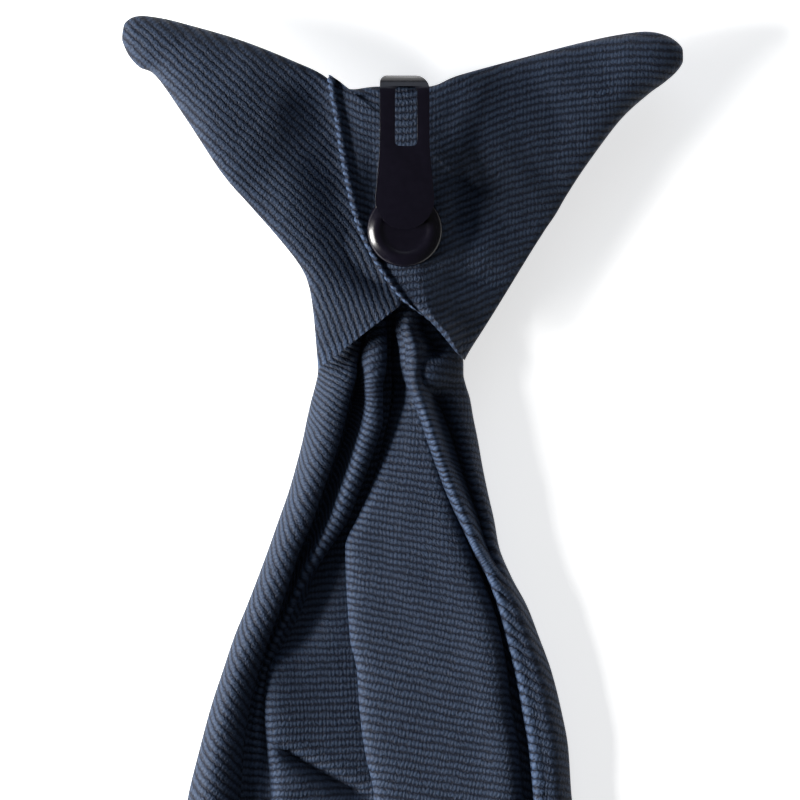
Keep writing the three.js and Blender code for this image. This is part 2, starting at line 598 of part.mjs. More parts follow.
function padGeometry() {
  const radius = PAD_DIAMETER / 2;
  const profile = [new THREE.Vector2(0, 0), new THREE.Vector2(radius - PAD_ROUND_RADIUS / 2, 0)];
  for (let step = 0; step <= 3; step += 1) {
    const angle = (Math.PI / 2) * (step / 3);
    profile.push(new THREE.Vector2(
      radius - PAD_ROUND_RADIUS + PAD_ROUND_RADIUS * Math.cos(angle),
      PAD_THICKNESS - PAD_ROUND_RADIUS + PAD_ROUND_RADIUS * Math.sin(angle),
    ));
  }
  profile.push(new THREE.Vector2(radius - 2 * PAD_ROUND_RADIUS, PAD_THICKNESS - PAD_DISH_DEPTH));
  profile.push(new THREE.Vector2(0, PAD_THICKNESS - PAD_DISH_DEPTH));
  const geometry = new THREE.LatheGeometry(profile, PAD_SIDES);
  geometry.rotateX(Math.PI / 2);
  return geometry;
}

function piece(name, geometry, material) {
  const mesh = new THREE.Mesh(geometry, material);
  mesh.name = name;
  return mesh;
}

const cloth = new THREE.MeshStandardMaterial({ color: CLOTH_COLOR, roughness: 0.8, metalness: 0 });
const plastic = new THREE.MeshStandardMaterial({ color: PLASTIC_COLOR, roughness: 0.18, metalness: 0 });

const tie = new THREE.Group();

const knot = new THREE.Group();
knot.add(piece('left_wrap', sleeveGeometry(LEFT_SLEEVE), cloth));
knot.add(piece('right_wrap', sleeveGeometry(RIGHT_SLEEVE), cloth));
knot.add(piece('knot_front', frontGeometry(), cloth));
tie.add(knot);

tie.add(piece('blade', bladeGeometry(), cloth));

const clip = new THREE.Group();
const pad = piece('clip_pad', padGeometry(), plastic);
pad.position.set(0, -HOOK_TONGUE_LENGTH, CROSSING_TOP + CLEARANCE);
clip.add(piece('clip_hook', hookGeometry(), plastic), pad);
clip.position.set(HOOK_SIDE_OFFSET, FRONT_TOP + HOOK_RISE_HEIGHT, 0);
tie.add(clip);

export default tie;
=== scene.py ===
"""Clip on tie, lying back up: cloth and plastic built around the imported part, laid out as an add-on."""

import math

import bpy
import numpy as np
from bpy.props import FloatProperty, FloatVectorProperty, IntProperty, PointerProperty
from bpy.types import Operator, Panel, PropertyGroup
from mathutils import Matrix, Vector, noise


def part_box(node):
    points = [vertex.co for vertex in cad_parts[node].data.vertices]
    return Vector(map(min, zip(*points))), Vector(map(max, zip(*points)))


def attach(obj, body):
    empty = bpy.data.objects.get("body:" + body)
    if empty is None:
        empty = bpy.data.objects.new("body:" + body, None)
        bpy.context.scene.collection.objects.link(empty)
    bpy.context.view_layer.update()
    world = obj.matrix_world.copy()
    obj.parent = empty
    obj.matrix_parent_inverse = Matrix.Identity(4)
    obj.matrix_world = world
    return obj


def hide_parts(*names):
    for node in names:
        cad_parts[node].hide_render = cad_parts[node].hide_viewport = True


bl_info = {
    "name": "Clip On Tie",
    "version": (1, 0, 0),
    "blender": (4, 5, 0),
    "location": "View3D > Sidebar > Tie",
    "description": "Builds the cloth, the hook and the studio of a clip on tie around its packed frame",
    "category": "Add Mesh",
}

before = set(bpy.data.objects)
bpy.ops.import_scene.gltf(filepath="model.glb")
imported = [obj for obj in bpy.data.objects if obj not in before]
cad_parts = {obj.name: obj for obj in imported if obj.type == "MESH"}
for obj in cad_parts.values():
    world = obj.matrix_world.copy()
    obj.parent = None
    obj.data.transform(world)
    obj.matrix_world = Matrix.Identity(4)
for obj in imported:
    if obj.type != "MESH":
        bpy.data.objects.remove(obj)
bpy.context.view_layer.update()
MM = 0.001

# Places taken from the frame, in millimetres
LEFT_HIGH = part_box("left_wrap")[1] / MM
RIGHT_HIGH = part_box("right_wrap")[1] / MM
FRONT_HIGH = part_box("knot_front")[1] / MM
BLADE_LOW, BLADE_HIGH = (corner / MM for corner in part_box("blade"))
HOOK_LOW, HOOK_HIGH = (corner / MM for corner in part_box("clip_hook"))
PAD_LOW, PAD_HIGH = (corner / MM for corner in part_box("clip_pad"))
KNOT_TOP = LEFT_HIGH.y
HALF_SPAN = RIGHT_HIGH.x
HOOK_MIDDLE = (HOOK_LOW.x + HOOK_HIGH.x) / 2
HOOK_LEVEL = (HOOK_LOW.z + HOOK_HIGH.z) / 2

# Sizes of the knot, in millimetres, as in the part. The powers say how square a sleeve's section is.
KNOT_HEIGHT = 64
WING_THICKNESS = 7
WRAP_THICKNESS = 3.8
WING_MIDDLE = 10.2
WING_POWER = 2
WRAP_POWER = 2.8
RIM_LEVEL = 8.3
CLOTH_WALL = 1.3
THIN_HALF_WIDTH = 0.2
# Rise of the right wrap over the left one, and the share of its width that it rises in
CROSSING_RISE = 4.1
CROSSING_SHARE = 0.55
# Steps between two sections of a sleeve's hollow, and how many of them are left out at the wing's tip
HOLLOW_STEPS = 3
HOLLOW_START = 2

# Outline of a folded sleeve, a row for each section from the wing tip to the waist. Places across are
# shares of half the span and places down are shares of the knot's height. seat goes from the wing's own
# level, 0, to the knot's rim, 1, and lift raises the top edge over the wrap below.
SLEEVE_COLUMNS = ("edge_x", "edge_y", "top_x", "top_y", "thick", "seat", "lift")
LEFT_SLEEVE = (
    (-0.999, 0.05, -0.998, 0.045, 0.04, 0, 0),
    (-0.998, 0.072, -0.988, 0.018, 0.26, 0, 0),
    (-0.975, 0.112, -0.945, 0, 0.6, 0, 0),
    (-0.936, 0.145, -0.865, 0.005, 0.86, 0, 0),
    (-0.876, 0.172, -0.76, 0.025, 1, 0, 0),
    (-0.765, 0.297, -0.58, 0.067, 1.16, 0.4, 0),
    (-0.643, 0.443, -0.4, 0.123, 1.33, 1, 0),
    (-0.545, 0.532, -0.266, 0.176, 1, 1, 0),
    (-0.451, 0.616, -0.187, 0.263, 1, 1, 0),
    (-0.372, 0.695, -0.102, 0.459, 1, 1, 0),
    (-0.337, 0.751, -0.037, 0.613, 1, 1, 0),
    (-0.319, 0.829, 0.012, 0.725, 1, 1, 0),
    (-0.308, 0.924, 0.024, 0.773, 1, 1, 0),
    (-0.301, 0.994, 0.004, 0.807, 1, 1, 0),
)
RIGHT_SLEEVE = (
    (1, 0.116, 0.9995, 0.111, 0.04, 0, 0),
    (0.997, 0.134, 0.994, 0.086, 0.26, 0, 0),
    (0.973, 0.16, 0.95, 0.058, 0.6, 0, 0),
    (0.929, 0.19, 0.88, 0.044, 0.86, 0, 0),
    (0.872, 0.223, 0.79, 0.05, 1, 0, 0),
    (0.775, 0.294, 0.647, 0.073, 1.16, 0.4, 0),
    (0.658, 0.417, 0.419, 0.12, 1.33, 1, 0.3),
    (0.587, 0.502, 0.2, 0.168, 1, 1, 0.9),
    (0.546, 0.558, 0.092, 0.2, 1, 1, 1),
    (0.512, 0.597, -0.092, 0.2, 1, 1, 1),
    (0.491, 0.623, -0.19, 0.206, 1, 1, 1),
    (0.469, 0.65, -0.26, 0.17, 1, 1, 1),
    (0.419, 0.714, -0.237, 0.291, 1, 1, 1),
    (0.365, 0.784, -0.209, 0.431, 1, 1, 1),
    (0.319, 0.843, -0.162, 0.585, 1, 1, 1),
    (0.283, 0.888, -0.094, 0.695, 1, 1, 1),
    (0.255, 0.922, -0.002, 0.796, 1, 1, 1),
    (0.235, 0.948, 0.1, 0.86, 0.96, 1, 0.6),
    (0.222, 0.968, 0.19, 0.945, 0.87, 1, 0.2),
)

# First section of each sleeve's folded part, which has more rows
LEFT_FOLDED_FROM = 8
RIGHT_FOLDED_FROM = 9

# Direction of the ribs on the wraps. The left wrap's run at one angle and turn down towards the waist, by
# (along, slope). The right wrap's sag under the hook, by (x, slope).
LEFT_RIB_ANGLE = -44
LEFT_TURN = ((-210, 0.02), (-170, 0.02), (-157, -0.04), (-149, -0.36), (-142, -0.5), (-120, -0.5))
RIGHT_SLOPE = (
    (-14, -0.5), (-8, -0.4), (-3, -0.15), (1, 0.1), (8, 0.4), (15, 0.42),
    (22, 0.26), (30, 0.13), (38, 0.13), (44, -0.05), (52, -0.1),
)

# Line of the right wrap's folded edge over the left wrap, (x, y), and the dip of the left wrap beside it,
# which fades in and out along the tie. The wrap's underside sags with it by half, from a place on.
CROSSING_FOLD = ((-13.4, 239), (-12, 231), (-10.5, 222), (-8, 212.4), (-4.7, 205.6), (0, 199), (5, 195))
DIP_DEPTH = 3.3
DIP_REACH = 8
DIP_UNDER_FOLD = 2
DIP_FADES = ((196, 204), (233, 244))
SAG_FADE = (208, 216)
# Hem at the left wrap's low end, lightened by a painted highlight: where it begins, in shares of the knot's
# height
HEM_FADE = (0.93, 0.985)
HEM_HIGHLIGHT = 0.7

# Dents and swellings of the right wrap, in millimetres
DENT_COLUMNS = ("x", "y", "reach_x", "reach_y", "rise")
DENTS = (
    (-4.9, 219, 2.7, 8, -1.5),
    (11.6, 214.5, 2.5, 8, -1.5),
    (15, 202.5, 7, 2, -0.8),
    (12, 208, 6, 2.6, 0.6),
)

# Cord-like roll along the right wrap's folded edge, with a bead for each rib. It fades in and almost out
# along the edge, by shares of the knot's height.
ROPE_WIDTH = 1.7
ROPE_HEIGHT = 0.5
ROPE_BEAD = 0.65  # share of its height that is beads
ROPE_DROP = 1.1
ROPE_DROP_INSIDE = 0.4
ROPE_FADES = ((0.59, 0.66), (0.92, 0.96))
ROPE_FADED = 0.9
# The rope's painted highlight fades out over this reach.
ROPE_HIGHLIGHT_FADE = (0.6, 1.1)  # in rope widths from the edge
TROUGH_DEPTH = 0.15
TROUGH_PLACE = 1.4  # in rope widths
TROUGH_REACH = 0.5
EDGE_BEAD = 0.3
EDGE_FADE = (0.86, 0.98)

# Knot front, a shallow boat: down is millimetres from its top, middle and half its middle and half width.
FRONT_DEPTH = 8
FRONT_WALL = 1.6
FRONT_POWER = 3
FRONT_COLUMNS = ("down", "middle", "half", "depth", "rise")
FRONT_ROWS = (
    (0, 0.25, 16.4, 0.07, 2.4),
    (0.3, 0.25, 17.6, 0.42, 1.5),
    (1.5, 0.25, 18.7, 0.78, 0.6),
    (3.9, 0.25, 19.2, 0.95, 0.1),
    (8.3, 0.15, 19.2, 1, 0),
    (17.2, 0, 18.1, 1, 0),
    (28.4, -0.6, 15.6, 1, 0),
    (38, -1.5, 12.9, 1, 0),
    (42.6, -2, 11.8, 1, 0),
    (45.3, -2.2, 11.6, 1, 0),
)
FRONT_STEPS = 6
FRONT_COUNT = 73
# Rise of its top edge under the hook, and how far it stays inside the wraps there
FRONT_RISE_HALF = 8.5
FRONT_RISE_FADE = 0.6
FRONT_SETBACK = 2.2

# Blade: gathered sections, a row for each. down is millimetres below the waist, left and right are the
# silhouette and front lifts the front layer over the knot front's floor.
WAIST = 186
SECTION_COLUMNS = ("down", "left", "right", "front")
SECTIONS = (
    (-23.7, -11.1, 7.3, 1.9),
    (-8, -11.8, 7.6, 1.9),
    (-4, -13.2, 10.7, 1.9),
    (-1.2, -15.2, 11, 1.8),
    (0.5, -15.3, 11, 1.5),
    (2.4, -15.7, 11.4, 1.1),
    (5, -16.4, 12.2, 0.7),
    (8.4, -17.2, 12.8, 0.4),
    (12.3, -18, 13.6, 0.2),
    (17.4, -19.3, 14.5, 0),
    (22.2, -20.7, 15.5, 0),
    (26.7, -22.3, 16.5, 0),
    (31.8, -24.1, 17.4, 0),
    (37.2, -26.1, 19.6, 0),
    (42.6, -28.2, 22.5, 0),
    (48, -30.4, 24.6, 0),
    (54, -32.4, 26.8, 0),
    (60.6, -34.6, 28.5, 0),
    (68, -36.6, 29.9, 0),
    (76.6, -38.7, 30.5, 0),
    (95, -41.6, 33, 0),
)
# Places of the left flap's folds across each section, in percent of its width.
LEFT_FOLDS = (
    "roll", "roll_edge", "roll_under", "groove", "pleat_foot", "pleat",
    "pleat_edge", "pleat_under", "side_edge", "side", "side_end",
)
LEFT_PLACES = (
    (10, 19, 20, 24, 28, 33, 40, 42, 44, 46, 48),
    (10, 20, 20, 25, 28, 34, 42, 42, 45, 48, 50),
    (9.2, 19, 18.5, 20.8, 22.7, 31.5, 40.2, 39.3, 41.6, 44.4, 46.7),
    (10.8, 23.1, 21.6, 24.6, 26.8, 35.4, 44.1, 42.3, 45.3, 48.2, 50.7),
    (11, 23, 21.5, 25, 28, 36.5, 43.5, 42, 45, 48, 51),
    (11, 22, 20.5, 25.5, 30, 36.5, 42, 40, 43, 47, 51),
    (10, 20.5, 18.8, 25, 32, 37.5, 42.5, 40.5, 43, 47, 50),
    (10, 19.8, 17.5, 24, 31, 37.5, 43.2, 41, 43, 46, 49),
    (9, 18, 15.8, 22, 28, 34.5, 40.3, 38.2, 41, 43.5, 46),
    (8, 15.8, 13.4, 19.5, 25, 31, 36.2, 34.4, 37, 40, 43),
    (7, 13.9, 11.4, 17, 22, 27.5, 32.7, 30.8, 33.5, 36, 40),
    (6.6, 13.2, 10.6, 16, 20.2, 25.2, 29.8, 27.9, 30, 32.5, 37),
    (5.2, 11.2, 9, 14, 17.4, 21, 24.1, 23, 32, 33.6, 37),
    (4.6, 10.6, 8.6, 12.6, 14.8, 17.2, 18.2, 20.4, 30, 32.4, 39),
    (4, 10, 8.2, 11.8, 13.4, 15.2, 15.2, 18.6, 26.6, 30, 41),
    (3.6, 9.6, 7.6, 10.4, 12, 13.4, 13.6, 16.6, 23, 28, 43),
    (3.2, 9, 7, 9.8, 11, 12, 12.4, 13.6, 14.6, 24, 46),
    (3.4, 9.4, 7.2, 10.2, 11.6, 12.8, 13.8, 15.2, 16.2, 28, 47),
    (3.8, 10.2, 8, 11.2, 13, 14.6, 16.4, 18.2, 19.4, 32, 49),
    (4.4, 11.4, 9, 12.8, 15, 17.4, 19.8, 21.6, 23, 36, 52),
    (4.6, 11.8, 9.4, 13.2, 15.6, 18, 20.6, 22.5, 24, 37, 53),
)
# Their heights over the surface, in millimetres.
LEFT_HEIGHTS = (
    (6.4, 6.2, 5.6, 5, 5.2, 6.4, 6, 5.2, 4.6, 4.4, 4.2),
    (6.6, 6.5, 5.5, 4.2, 4.6, 7.2, 6.9, 5.5, 4.4, 4.2, 4),
    (6.7, 7.2, 6, 4, 4.4, 9, 8.8, 5.4, 3.6, 3.4, 3.4),
    (7.4, 8, 6.4, 3.8, 4.4, 9.4, 9, 5.6, 3.4, 3, 3),
    (9, 9.3, 7, 3.6, 4.6, 10.2, 9.8, 6, 3.2, 2.9, 2.9),
    (9.6, 9.7, 7, 3.4, 4.8, 10.3, 9.8, 6, 3.1, 2.8, 2.8),
    (9.9, 9.9, 7, 3.2, 5.2, 10.2, 9.8, 6, 3, 2.7, 2.7),
    (10.1, 9.9, 6.8, 3, 5.2, 10, 9.6, 6, 2.9, 2.6, 2.6),
    (10.1, 9.8, 6.6, 2.9, 4.8, 9.6, 9.1, 5.7, 2.8, 2.6, 2.6),
    (9.9, 9.5, 6.4, 2.8, 4.4, 9, 8.4, 5.2, 2.8, 2.6, 2.6),
    (9.7, 9.2, 6, 2.7, 4, 8.3, 7.6, 4.8, 2.8, 2.6, 2.6),
    (9.4, 8.9, 5.8, 2.7, 3.7, 7.5, 6.8, 4.4, 2.8, 2.7, 2.6),
    (9.1, 8.6, 5.6, 2.8, 3.5, 6.6, 6, 2.6, 2.1, 2.3, 2.6),
    (8.8, 8.3, 5.4, 2.9, 3.3, 5.8, 5.2, 2.4, 2, 2.5, 2.7),
    (8.5, 8, 5, 3, 2.9, 4.8, 4.3, 2.2, 2, 3, 2.8),
    (8.3, 7.2, 4.6, 3, 2.7, 3.9, 3.5, 2.2, 2.4, 3.6, 2.9),
    (8.1, 6.5, 4.2, 3, 2.5, 3, 2.7, 2.6, 4.6, 4.3, 2.3),
    (7.9, 6, 3.9, 3, 2.5, 2.9, 2.6, 2.8, 5.2, 4.3, 2.3),
    (7.7, 5.5, 3.7, 3, 2.5, 2.9, 2.6, 2.8, 5.1, 4.2, 2.3),
    (7.4, 5.1, 3.5, 3, 2.5, 2.9, 2.6, 2.8, 4.9, 4.1, 2.3),
    (5.4, 4.5, 3.4, 3, 2.5, 2.9, 2.6, 2.8, 3.5, 3.4, 2.6),
)
RIGHT_FOLDS = (
    "start", "panel_fold", "panel_edge", "panel", "panel_middle", "panel_end",
    "right_groove", "ridge_foot", "ridge", "ridge_back", "gap", "right_roll",
)
RIGHT_PLACES = (
    (52, 54, 57, 60, 63, 66, 68, 70, 74, 79, 84, 92),
    (52, 54, 57, 58, 60, 61, 62, 63, 67, 74, 80, 90),
    (49, 51.3, 54.6, 55.5, 56.9, 58.3, 59.7, 61.1, 65.2, 70.3, 81, 90),
    (52.2, 55.1, 58.5, 59.4, 60.2, 61.2, 62.2, 63.4, 67.5, 72.8, 79, 88.5),
    (53, 56, 60.2, 61, 61.7, 62.3, 62.8, 63.5, 67.5, 72, 77, 87),
    (54, 58, 62.4, 63, 63.4, 63.8, 64.2, 64.8, 67.6, 72, 78, 88),
    (53, 57, 61.2, 63, 64.5, 65.6, 66.2, 66.8, 69.6, 73.5, 80, 90),
    (51, 54, 57.3, 61, 65, 68.6, 69.6, 70.4, 73, 76.6, 84, 92),
    (48, 50.5, 52.7, 60, 67, 71.4, 72.6, 73.4, 76, 79.6, 87, 93.5),
    (44, 45.6, 47.2, 57, 68, 75.6, 77, 77.8, 80.4, 84, 90, 95),
    (40, 41, 42.1, 54, 68, 79, 80.8, 81.6, 84.2, 87.8, 92.5, 96.3),
    (37, 37.6, 37.9, 52, 68, 82, 84.3, 85.4, 88, 91, 94.5, 97.3),
    (35.4, 35, 34.6, 52, 68, 86, 88, 89.9, 91.6, 93.8, 96, 98.2),
    (37, 36.6, 36, 54, 69, 86.6, 89.2, 92.3, 93.5, 95.5, 97.2, 98.7),
    (38.2, 37.8, 37.2, 56, 71, 86.5, 88.2, 91.2, 92, 94.6, 96.9, 98.6),
    (40, 39.6, 39.1, 58, 72, 86.6, 87.8, 90.6, 91.3, 94.2, 96.8, 98.5),
    (42.8, 42.4, 41.8, 60, 73, 85.4, 87, 90.3, 91, 94, 96.6, 98.4),
    (44.4, 44, 43.4, 62, 74, 84.7, 86.4, 90.2, 90.9, 93.9, 96.4, 98.4),
    (46.6, 46.2, 45.6, 64, 75, 85.2, 86.9, 90.4, 91.2, 93.9, 96.5, 98.4),
    (50.3, 49.9, 49.3, 66, 77, 86, 87.7, 91.1, 91.9, 94.4, 96.7, 98.5),
    (51, 50.6, 50, 66, 77, 86, 87.7, 90.9, 91.7, 94.3, 96.7, 98.5),
)
RIGHT_HEIGHTS = (
    (4.2, 4.6, 5.4, 6, 6.2, 6.2, 6.2, 6.3, 6.4, 6.2, 5.8, 6.2),
    (4, 4.6, 6, 7, 7.6, 8, 8.2, 8.6, 9.2, 8.2, 6.2, 6.8),
    (3.4, 4.4, 6.4, 8, 8.6, 9, 9.2, 9.6, 10.4, 9.2, 5.6, 7),
    (3.2, 4.4, 6.6, 8.1, 8.7, 9, 9.2, 9.6, 10.5, 9.4, 9.6, 8.8),
    (3, 4.4, 6.8, 8.2, 8.8, 9, 9.2, 9.6, 10.6, 9.4, 9.8, 8.9),
    (2.9, 4.4, 7.1, 8.2, 8.6, 9, 9.1, 9.6, 10.6, 9.4, 9, 7.6),
    (2.8, 4.2, 7.4, 8.1, 8.4, 8.6, 8.6, 9.2, 10.5, 9, 5.8, 6.9),
    (2.7, 4, 7.3, 8, 8.2, 8.3, 8.1, 8.7, 10.2, 8.4, 4, 6.6),
    (2.7, 3.9, 7.1, 7.9, 8, 8, 7.7, 8.3, 9.9, 8, 3.6, 6.4),
    (2.7, 3.8, 6.9, 7.7, 7.8, 7.7, 7.2, 7.8, 9.5, 7.6, 3.4, 6.2),
    (2.7, 3.7, 6.7, 7.5, 7.6, 7.4, 6.7, 7.3, 9.1, 7.3, 3.4, 6.1),
    (2.7, 3.7, 6.5, 7.3, 7.4, 7.2, 6, 6.6, 8.5, 7, 3.6, 6),
    (2.8, 3.8, 6.4, 7.1, 7.3, 7.1, 4.8, 5.4, 7.8, 6.9, 4.6, 5.8),
    (3.5, 4.1, 6.3, 7, 7.1, 7, 3.4, 3.9, 7, 6.8, 6.1, 5.4),
    (3.8, 4.3, 6.2, 6.8, 7, 6.9, 2.8, 3.1, 6.5, 6.6, 6.4, 5.2),
    (3.9, 4.4, 6.1, 6.7, 6.9, 6.8, 2.6, 2.9, 6.3, 6.4, 6.3, 5.2),
    (4, 4.5, 6, 6.6, 6.7, 6.7, 2.5, 2.8, 6.2, 6.3, 6.2, 5.2),
    (4.1, 4.6, 5.9, 6.4, 6.5, 6.5, 2.5, 2.7, 6.1, 6.2, 6.1, 5.1),
    (4.1, 4.6, 5.8, 6.2, 6.3, 6.3, 2.4, 2.7, 6, 6.1, 6, 5),
    (4, 4.5, 5.5, 5.9, 6, 6, 2.4, 2.7, 5.8, 5.9, 5.8, 4.9),
    (3.6, 4, 4.5, 4.6, 4.6, 4.6, 2.5, 2.7, 4.7, 4.8, 4.7, 4.4),
)
LEFT_COUNT, RIGHT_COUNT = len(LEFT_FOLDS), len(RIGHT_FOLDS)
FRONT_POINTS = 7  # control points across the front layer
FRONT_CURL = 2.2  # rise of its edges where it is lifted
FRONT_LIFT = 1.9  # lift at which that is full
FRONT_ROUNDING = 0.1  # share of the width that its long folds take
SECTION_STEPS = 5

# Flat blade below the gathers, in millimetres
BLADE_WALL = 1.2
BLADE_HEIGHT = 3.7
FLAP_LAP = 5  # the right flap over the left one along the seam
LAP_DROP = 1.1
LAP_FROM = 0.86
LAP_ENDS = 0.125  # share of the opening
FLAP_OPENING = 72
POINT_LENGTH = 43
POINT_HALF_WIDTH = 2.6
HEM_WIDTH = 6
HEM_GAP = 0.4
FOLD_ROUND = 1.5
# Its sections: below the gathers and above the opening in millimetres, then in shares of the opening and
# of the point
BELOW_GATHERS = (16, 40, 80, 130)
ABOVE_OPENING = (40, 12, 0)
OPENING_SHARES = (0.12, 0.33, 0.67, 1)
POINT_SHARES = (0.3, 0.65, 1)

# Rows of the blade's cloth: from a place along it to the next, and the step between two
ROW_STEPS = (
    (212, 190, 0.9), (190, 112, 0.46), (112, 100, 0.9),
    (100, -130, 4.4), (-130, -206, 5.5), (-206, -251, 3),
)

# Soft noise on the blade, as (size, seed, strength), and where it fades: by height, and along the blade
# down to a share
BLADE_WAVES = ((11, 5, 1), (4.5, 8, 0.45))
WAVES_HEIGHT_FADE = (2, 4)
WAVES_FADE = (40, 130)
WAVES_LEAST = 0.3

# Folds whose crests get a painted highlight: how light, and how far that reaches in millimetres. The ribs
# make beads where they run over such a crest.
HIGHLIGHTED_FOLDS = {"ridge": (1, 0.95), "pleat": (0.35, 1.5), "side_edge": (0.35, 0.6), "panel_edge": (0.3, 1)}
HIGHLIGHT_FADES = ((70, 110), (172, 186))
BEAD_HEIGHT = 0.6

# Dark slanting crease low on the left flap, (x, y). It is sharper above its line than below, fades at both
# ends by shares of its length, and lies in what stands over the blade's front layer.
CREASE_LINE = ((-23.8, 119.4), (-19, 116.5), (-13.2, 113.2), (-8, 110.2), (-1, 106), (4, 102.8))
CREASE_DEPTH = 2.3
CREASE_WIDTH = 2.1
CREASE_SHARPNESS = 0.4
CREASE_FADES = ((0, 0.15), (0.9, 1.02))
CREASE_HEIGHT_FADE = (2.4, 3.2)

# Angle of the ribs on each stretch of the blade, in degrees, by the place along it.
RIB_ANGLE_COLUMNS = ("y", "roll", "pleat", "side", "panel", "ridge")
RIB_ANGLES = (
    (212, -20, 20, 0, 0, 5),
    (186, -35, 18, 2, 2, -6),
    (180, -46, -14, 3, 0, -8),
    (172, -56, -35, 3, -6, -14),
    (164, -62, -43, 3, -10, -30),
    (150, -62, -48, 3, -12, -44),
    (136, -58, -30, 2, -13, -34),
    (120, -46, -10, 2, -10, -16),
    (106, -32, 0, 1, -8, -6),
    (84, -8, 0, 0, -3, 0),
    (60, 0, 0, 0, 0, 0),
    (-251, 0, 0, 0, 0, 0),
)

# Plastic hook, in millimetres: a strip bent into a hook, cut to its outline from above and slotted
HOOK_WALL = 1.2
HOOK_INNER_LENGTH = 15
HOOK_STRAIGHT_LENGTH = 8
HOOK_BEND_RADIUS = 2.6
HOOK_BEND_STEPS = 8
HOOK_WIDTH = 8.9
HOOK_END_WIDTH = 10.6
HOOK_END_SIDES = 96
HOOK_FLARE_Y = HOOK_HIGH.y - 12.7
HOOK_CORNERS = ((1, 2.6), (-1, 1.3))  # right and left
CORNER_SEGMENTS = 8
EDGE_SEGMENTS = 6
SLOT_WIDTH = 4
SLOT_OFFSET = 0.25
SLOT_CORNER = 0.9
SLOT_TOP_WALL = 2
SLOT_REACH = 10
TONGUE_CLEARANCE = 0.3
TONGUE_OVERLENGTH = 1  # what the outline cuts off
NEAR = 0.01  # what counts as the same place
# Round rim of the pad, (inwards, up): steps from its outer wall over the crest and down to the dish
PAD_SIDES = 160
PAD_RIM = (
    (0.12, 0.24), (0.22, 0.24), (0.36, 0.25), (0.42, 0.26), (0.42, 0.17), (0.42, 0.04),
    (0.35, -0.05), (0.35, -0.13), (0.3, -0.08), (0.5, -0.03),
)

# Corded weave. The noises are in repeats for each millimetre.
SLOW_SCALE, SLOW_DETAIL = 0.35, 3
FINE_SCALE, FINE_DETAIL = 2.2, 2
WOBBLE = 0.5  # how far a cord strays, in cords
TREMBLE = 0.55
YARN_WOBBLE = 1.6
YARN_TREMBLE = 1.8
CORD_POWER = 1.7
YARN_POWER = 2
STITCH = 0.4  # share of a cord's height that its stitches have
PLAIN_LEVEL, PLAIN_GAIN, PLAIN_TONE = 0.57, 1.6, 0.45  # patches where the cords show less
# Where the painted valley shade gives way to the cord's colour, and how fast
CREST_LEVEL, CREST_GAIN = 0.3, 1.9
SLOW_TONE = 0.6
# Lightness of the cords' crests where they are dark, light and under a painted highlight
CREST_DARK, CREST_LIGHT, CREST_HIGHLIGHTED = 0.72, 1.28, 1.8

# Lights: places from the middle of the view and sizes, in metres
LIGHT_COLUMNS = ("name", "place", "size", "color", "power")
LIGHTS = (
    ("key_light", (-0.76, -0.12, 0.31), 0.32, (1, 0.985, 0.96), "key_power"),
    ("fill_light", (0.06, 0.78, 0.47), 0.7, (0.78, 0.87, 1), "fill_power"),
)
TARGET_HEIGHT = 10 * MM
FLOOR_SIZE = 6
FLOOR_DROP = 0.1 * MM
FLOOR_ROUGHNESS = 0.9
VIEW_END = 20


class ClothSettings(PropertyGroup):
    """Sizes and colours of the corded cloth."""

    crest_color: FloatVectorProperty(
        name="Cord", description="Colour of the top of a cord", subtype="COLOR",
        size=3, min=0, max=1, default=(0.0262, 0.0425, 0.079))
    # Valley colour is painted shade: the dark between two cords stands in for the shade that falls there.
    valley_shade_color: FloatVectorProperty(
        name="Valley", description="Colour between two cords", subtype="COLOR",
        size=3, min=0, max=1, default=(0.0046, 0.0078, 0.019))
    pitch: FloatProperty(
        name="Cord Pitch", description="Distance from cord to cord", subtype="DISTANCE",
        unit="LENGTH", default=1.28 * MM)
    yarn: FloatProperty(
        name="Yarn Length", description="Length of one stitch along a cord", subtype="DISTANCE",
        unit="LENGTH", default=0.68 * MM)
    depth: FloatProperty(
        name="Cord Depth", description="Height of a cord over its valleys", subtype="DISTANCE",
        unit="LENGTH", default=0.22 * MM)
    roughness: FloatProperty(
        name="Roughness", description="Roughness of the cloth", subtype="FACTOR",
        min=0, max=1, default=0.62)
    sheen: FloatProperty(
        name="Sheen", description="Soft light along the cloth's edges", subtype="FACTOR",
        min=0, max=1, default=0.05)
    unevenness: FloatProperty(
        name="Unevenness", description="Height of soft dents in the cloth", subtype="DISTANCE",
        unit="LENGTH", default=0.22 * MM)
    around: IntProperty(
        name="Around", description="Points round a folded sleeve", min=24, default=150)
    steps: IntProperty(
        name="Steps", description="Rows between two sections of a wing", min=2, default=12)
    folded_steps: IntProperty(
        name="Folded Steps", description="Rows between two sections of a wrap", min=2, default=38)


class ClipSettings(PropertyGroup):
    """Sizes and colours of the plastic hook and pad."""

    color: FloatVectorProperty(
        name="Plastic", description="Colour of the plastic", subtype="COLOR",
        size=3, min=0, max=1, default=(0.0028, 0.0022, 0.006))
    roughness: FloatProperty(
        name="Roughness", description="Roughness of the plastic", subtype="FACTOR",
        min=0, max=1, default=0.22)
    edge: FloatProperty(
        name="Edge", description="Width of the rounded edges", subtype="DISTANCE",
        unit="LENGTH", default=0.52 * MM)


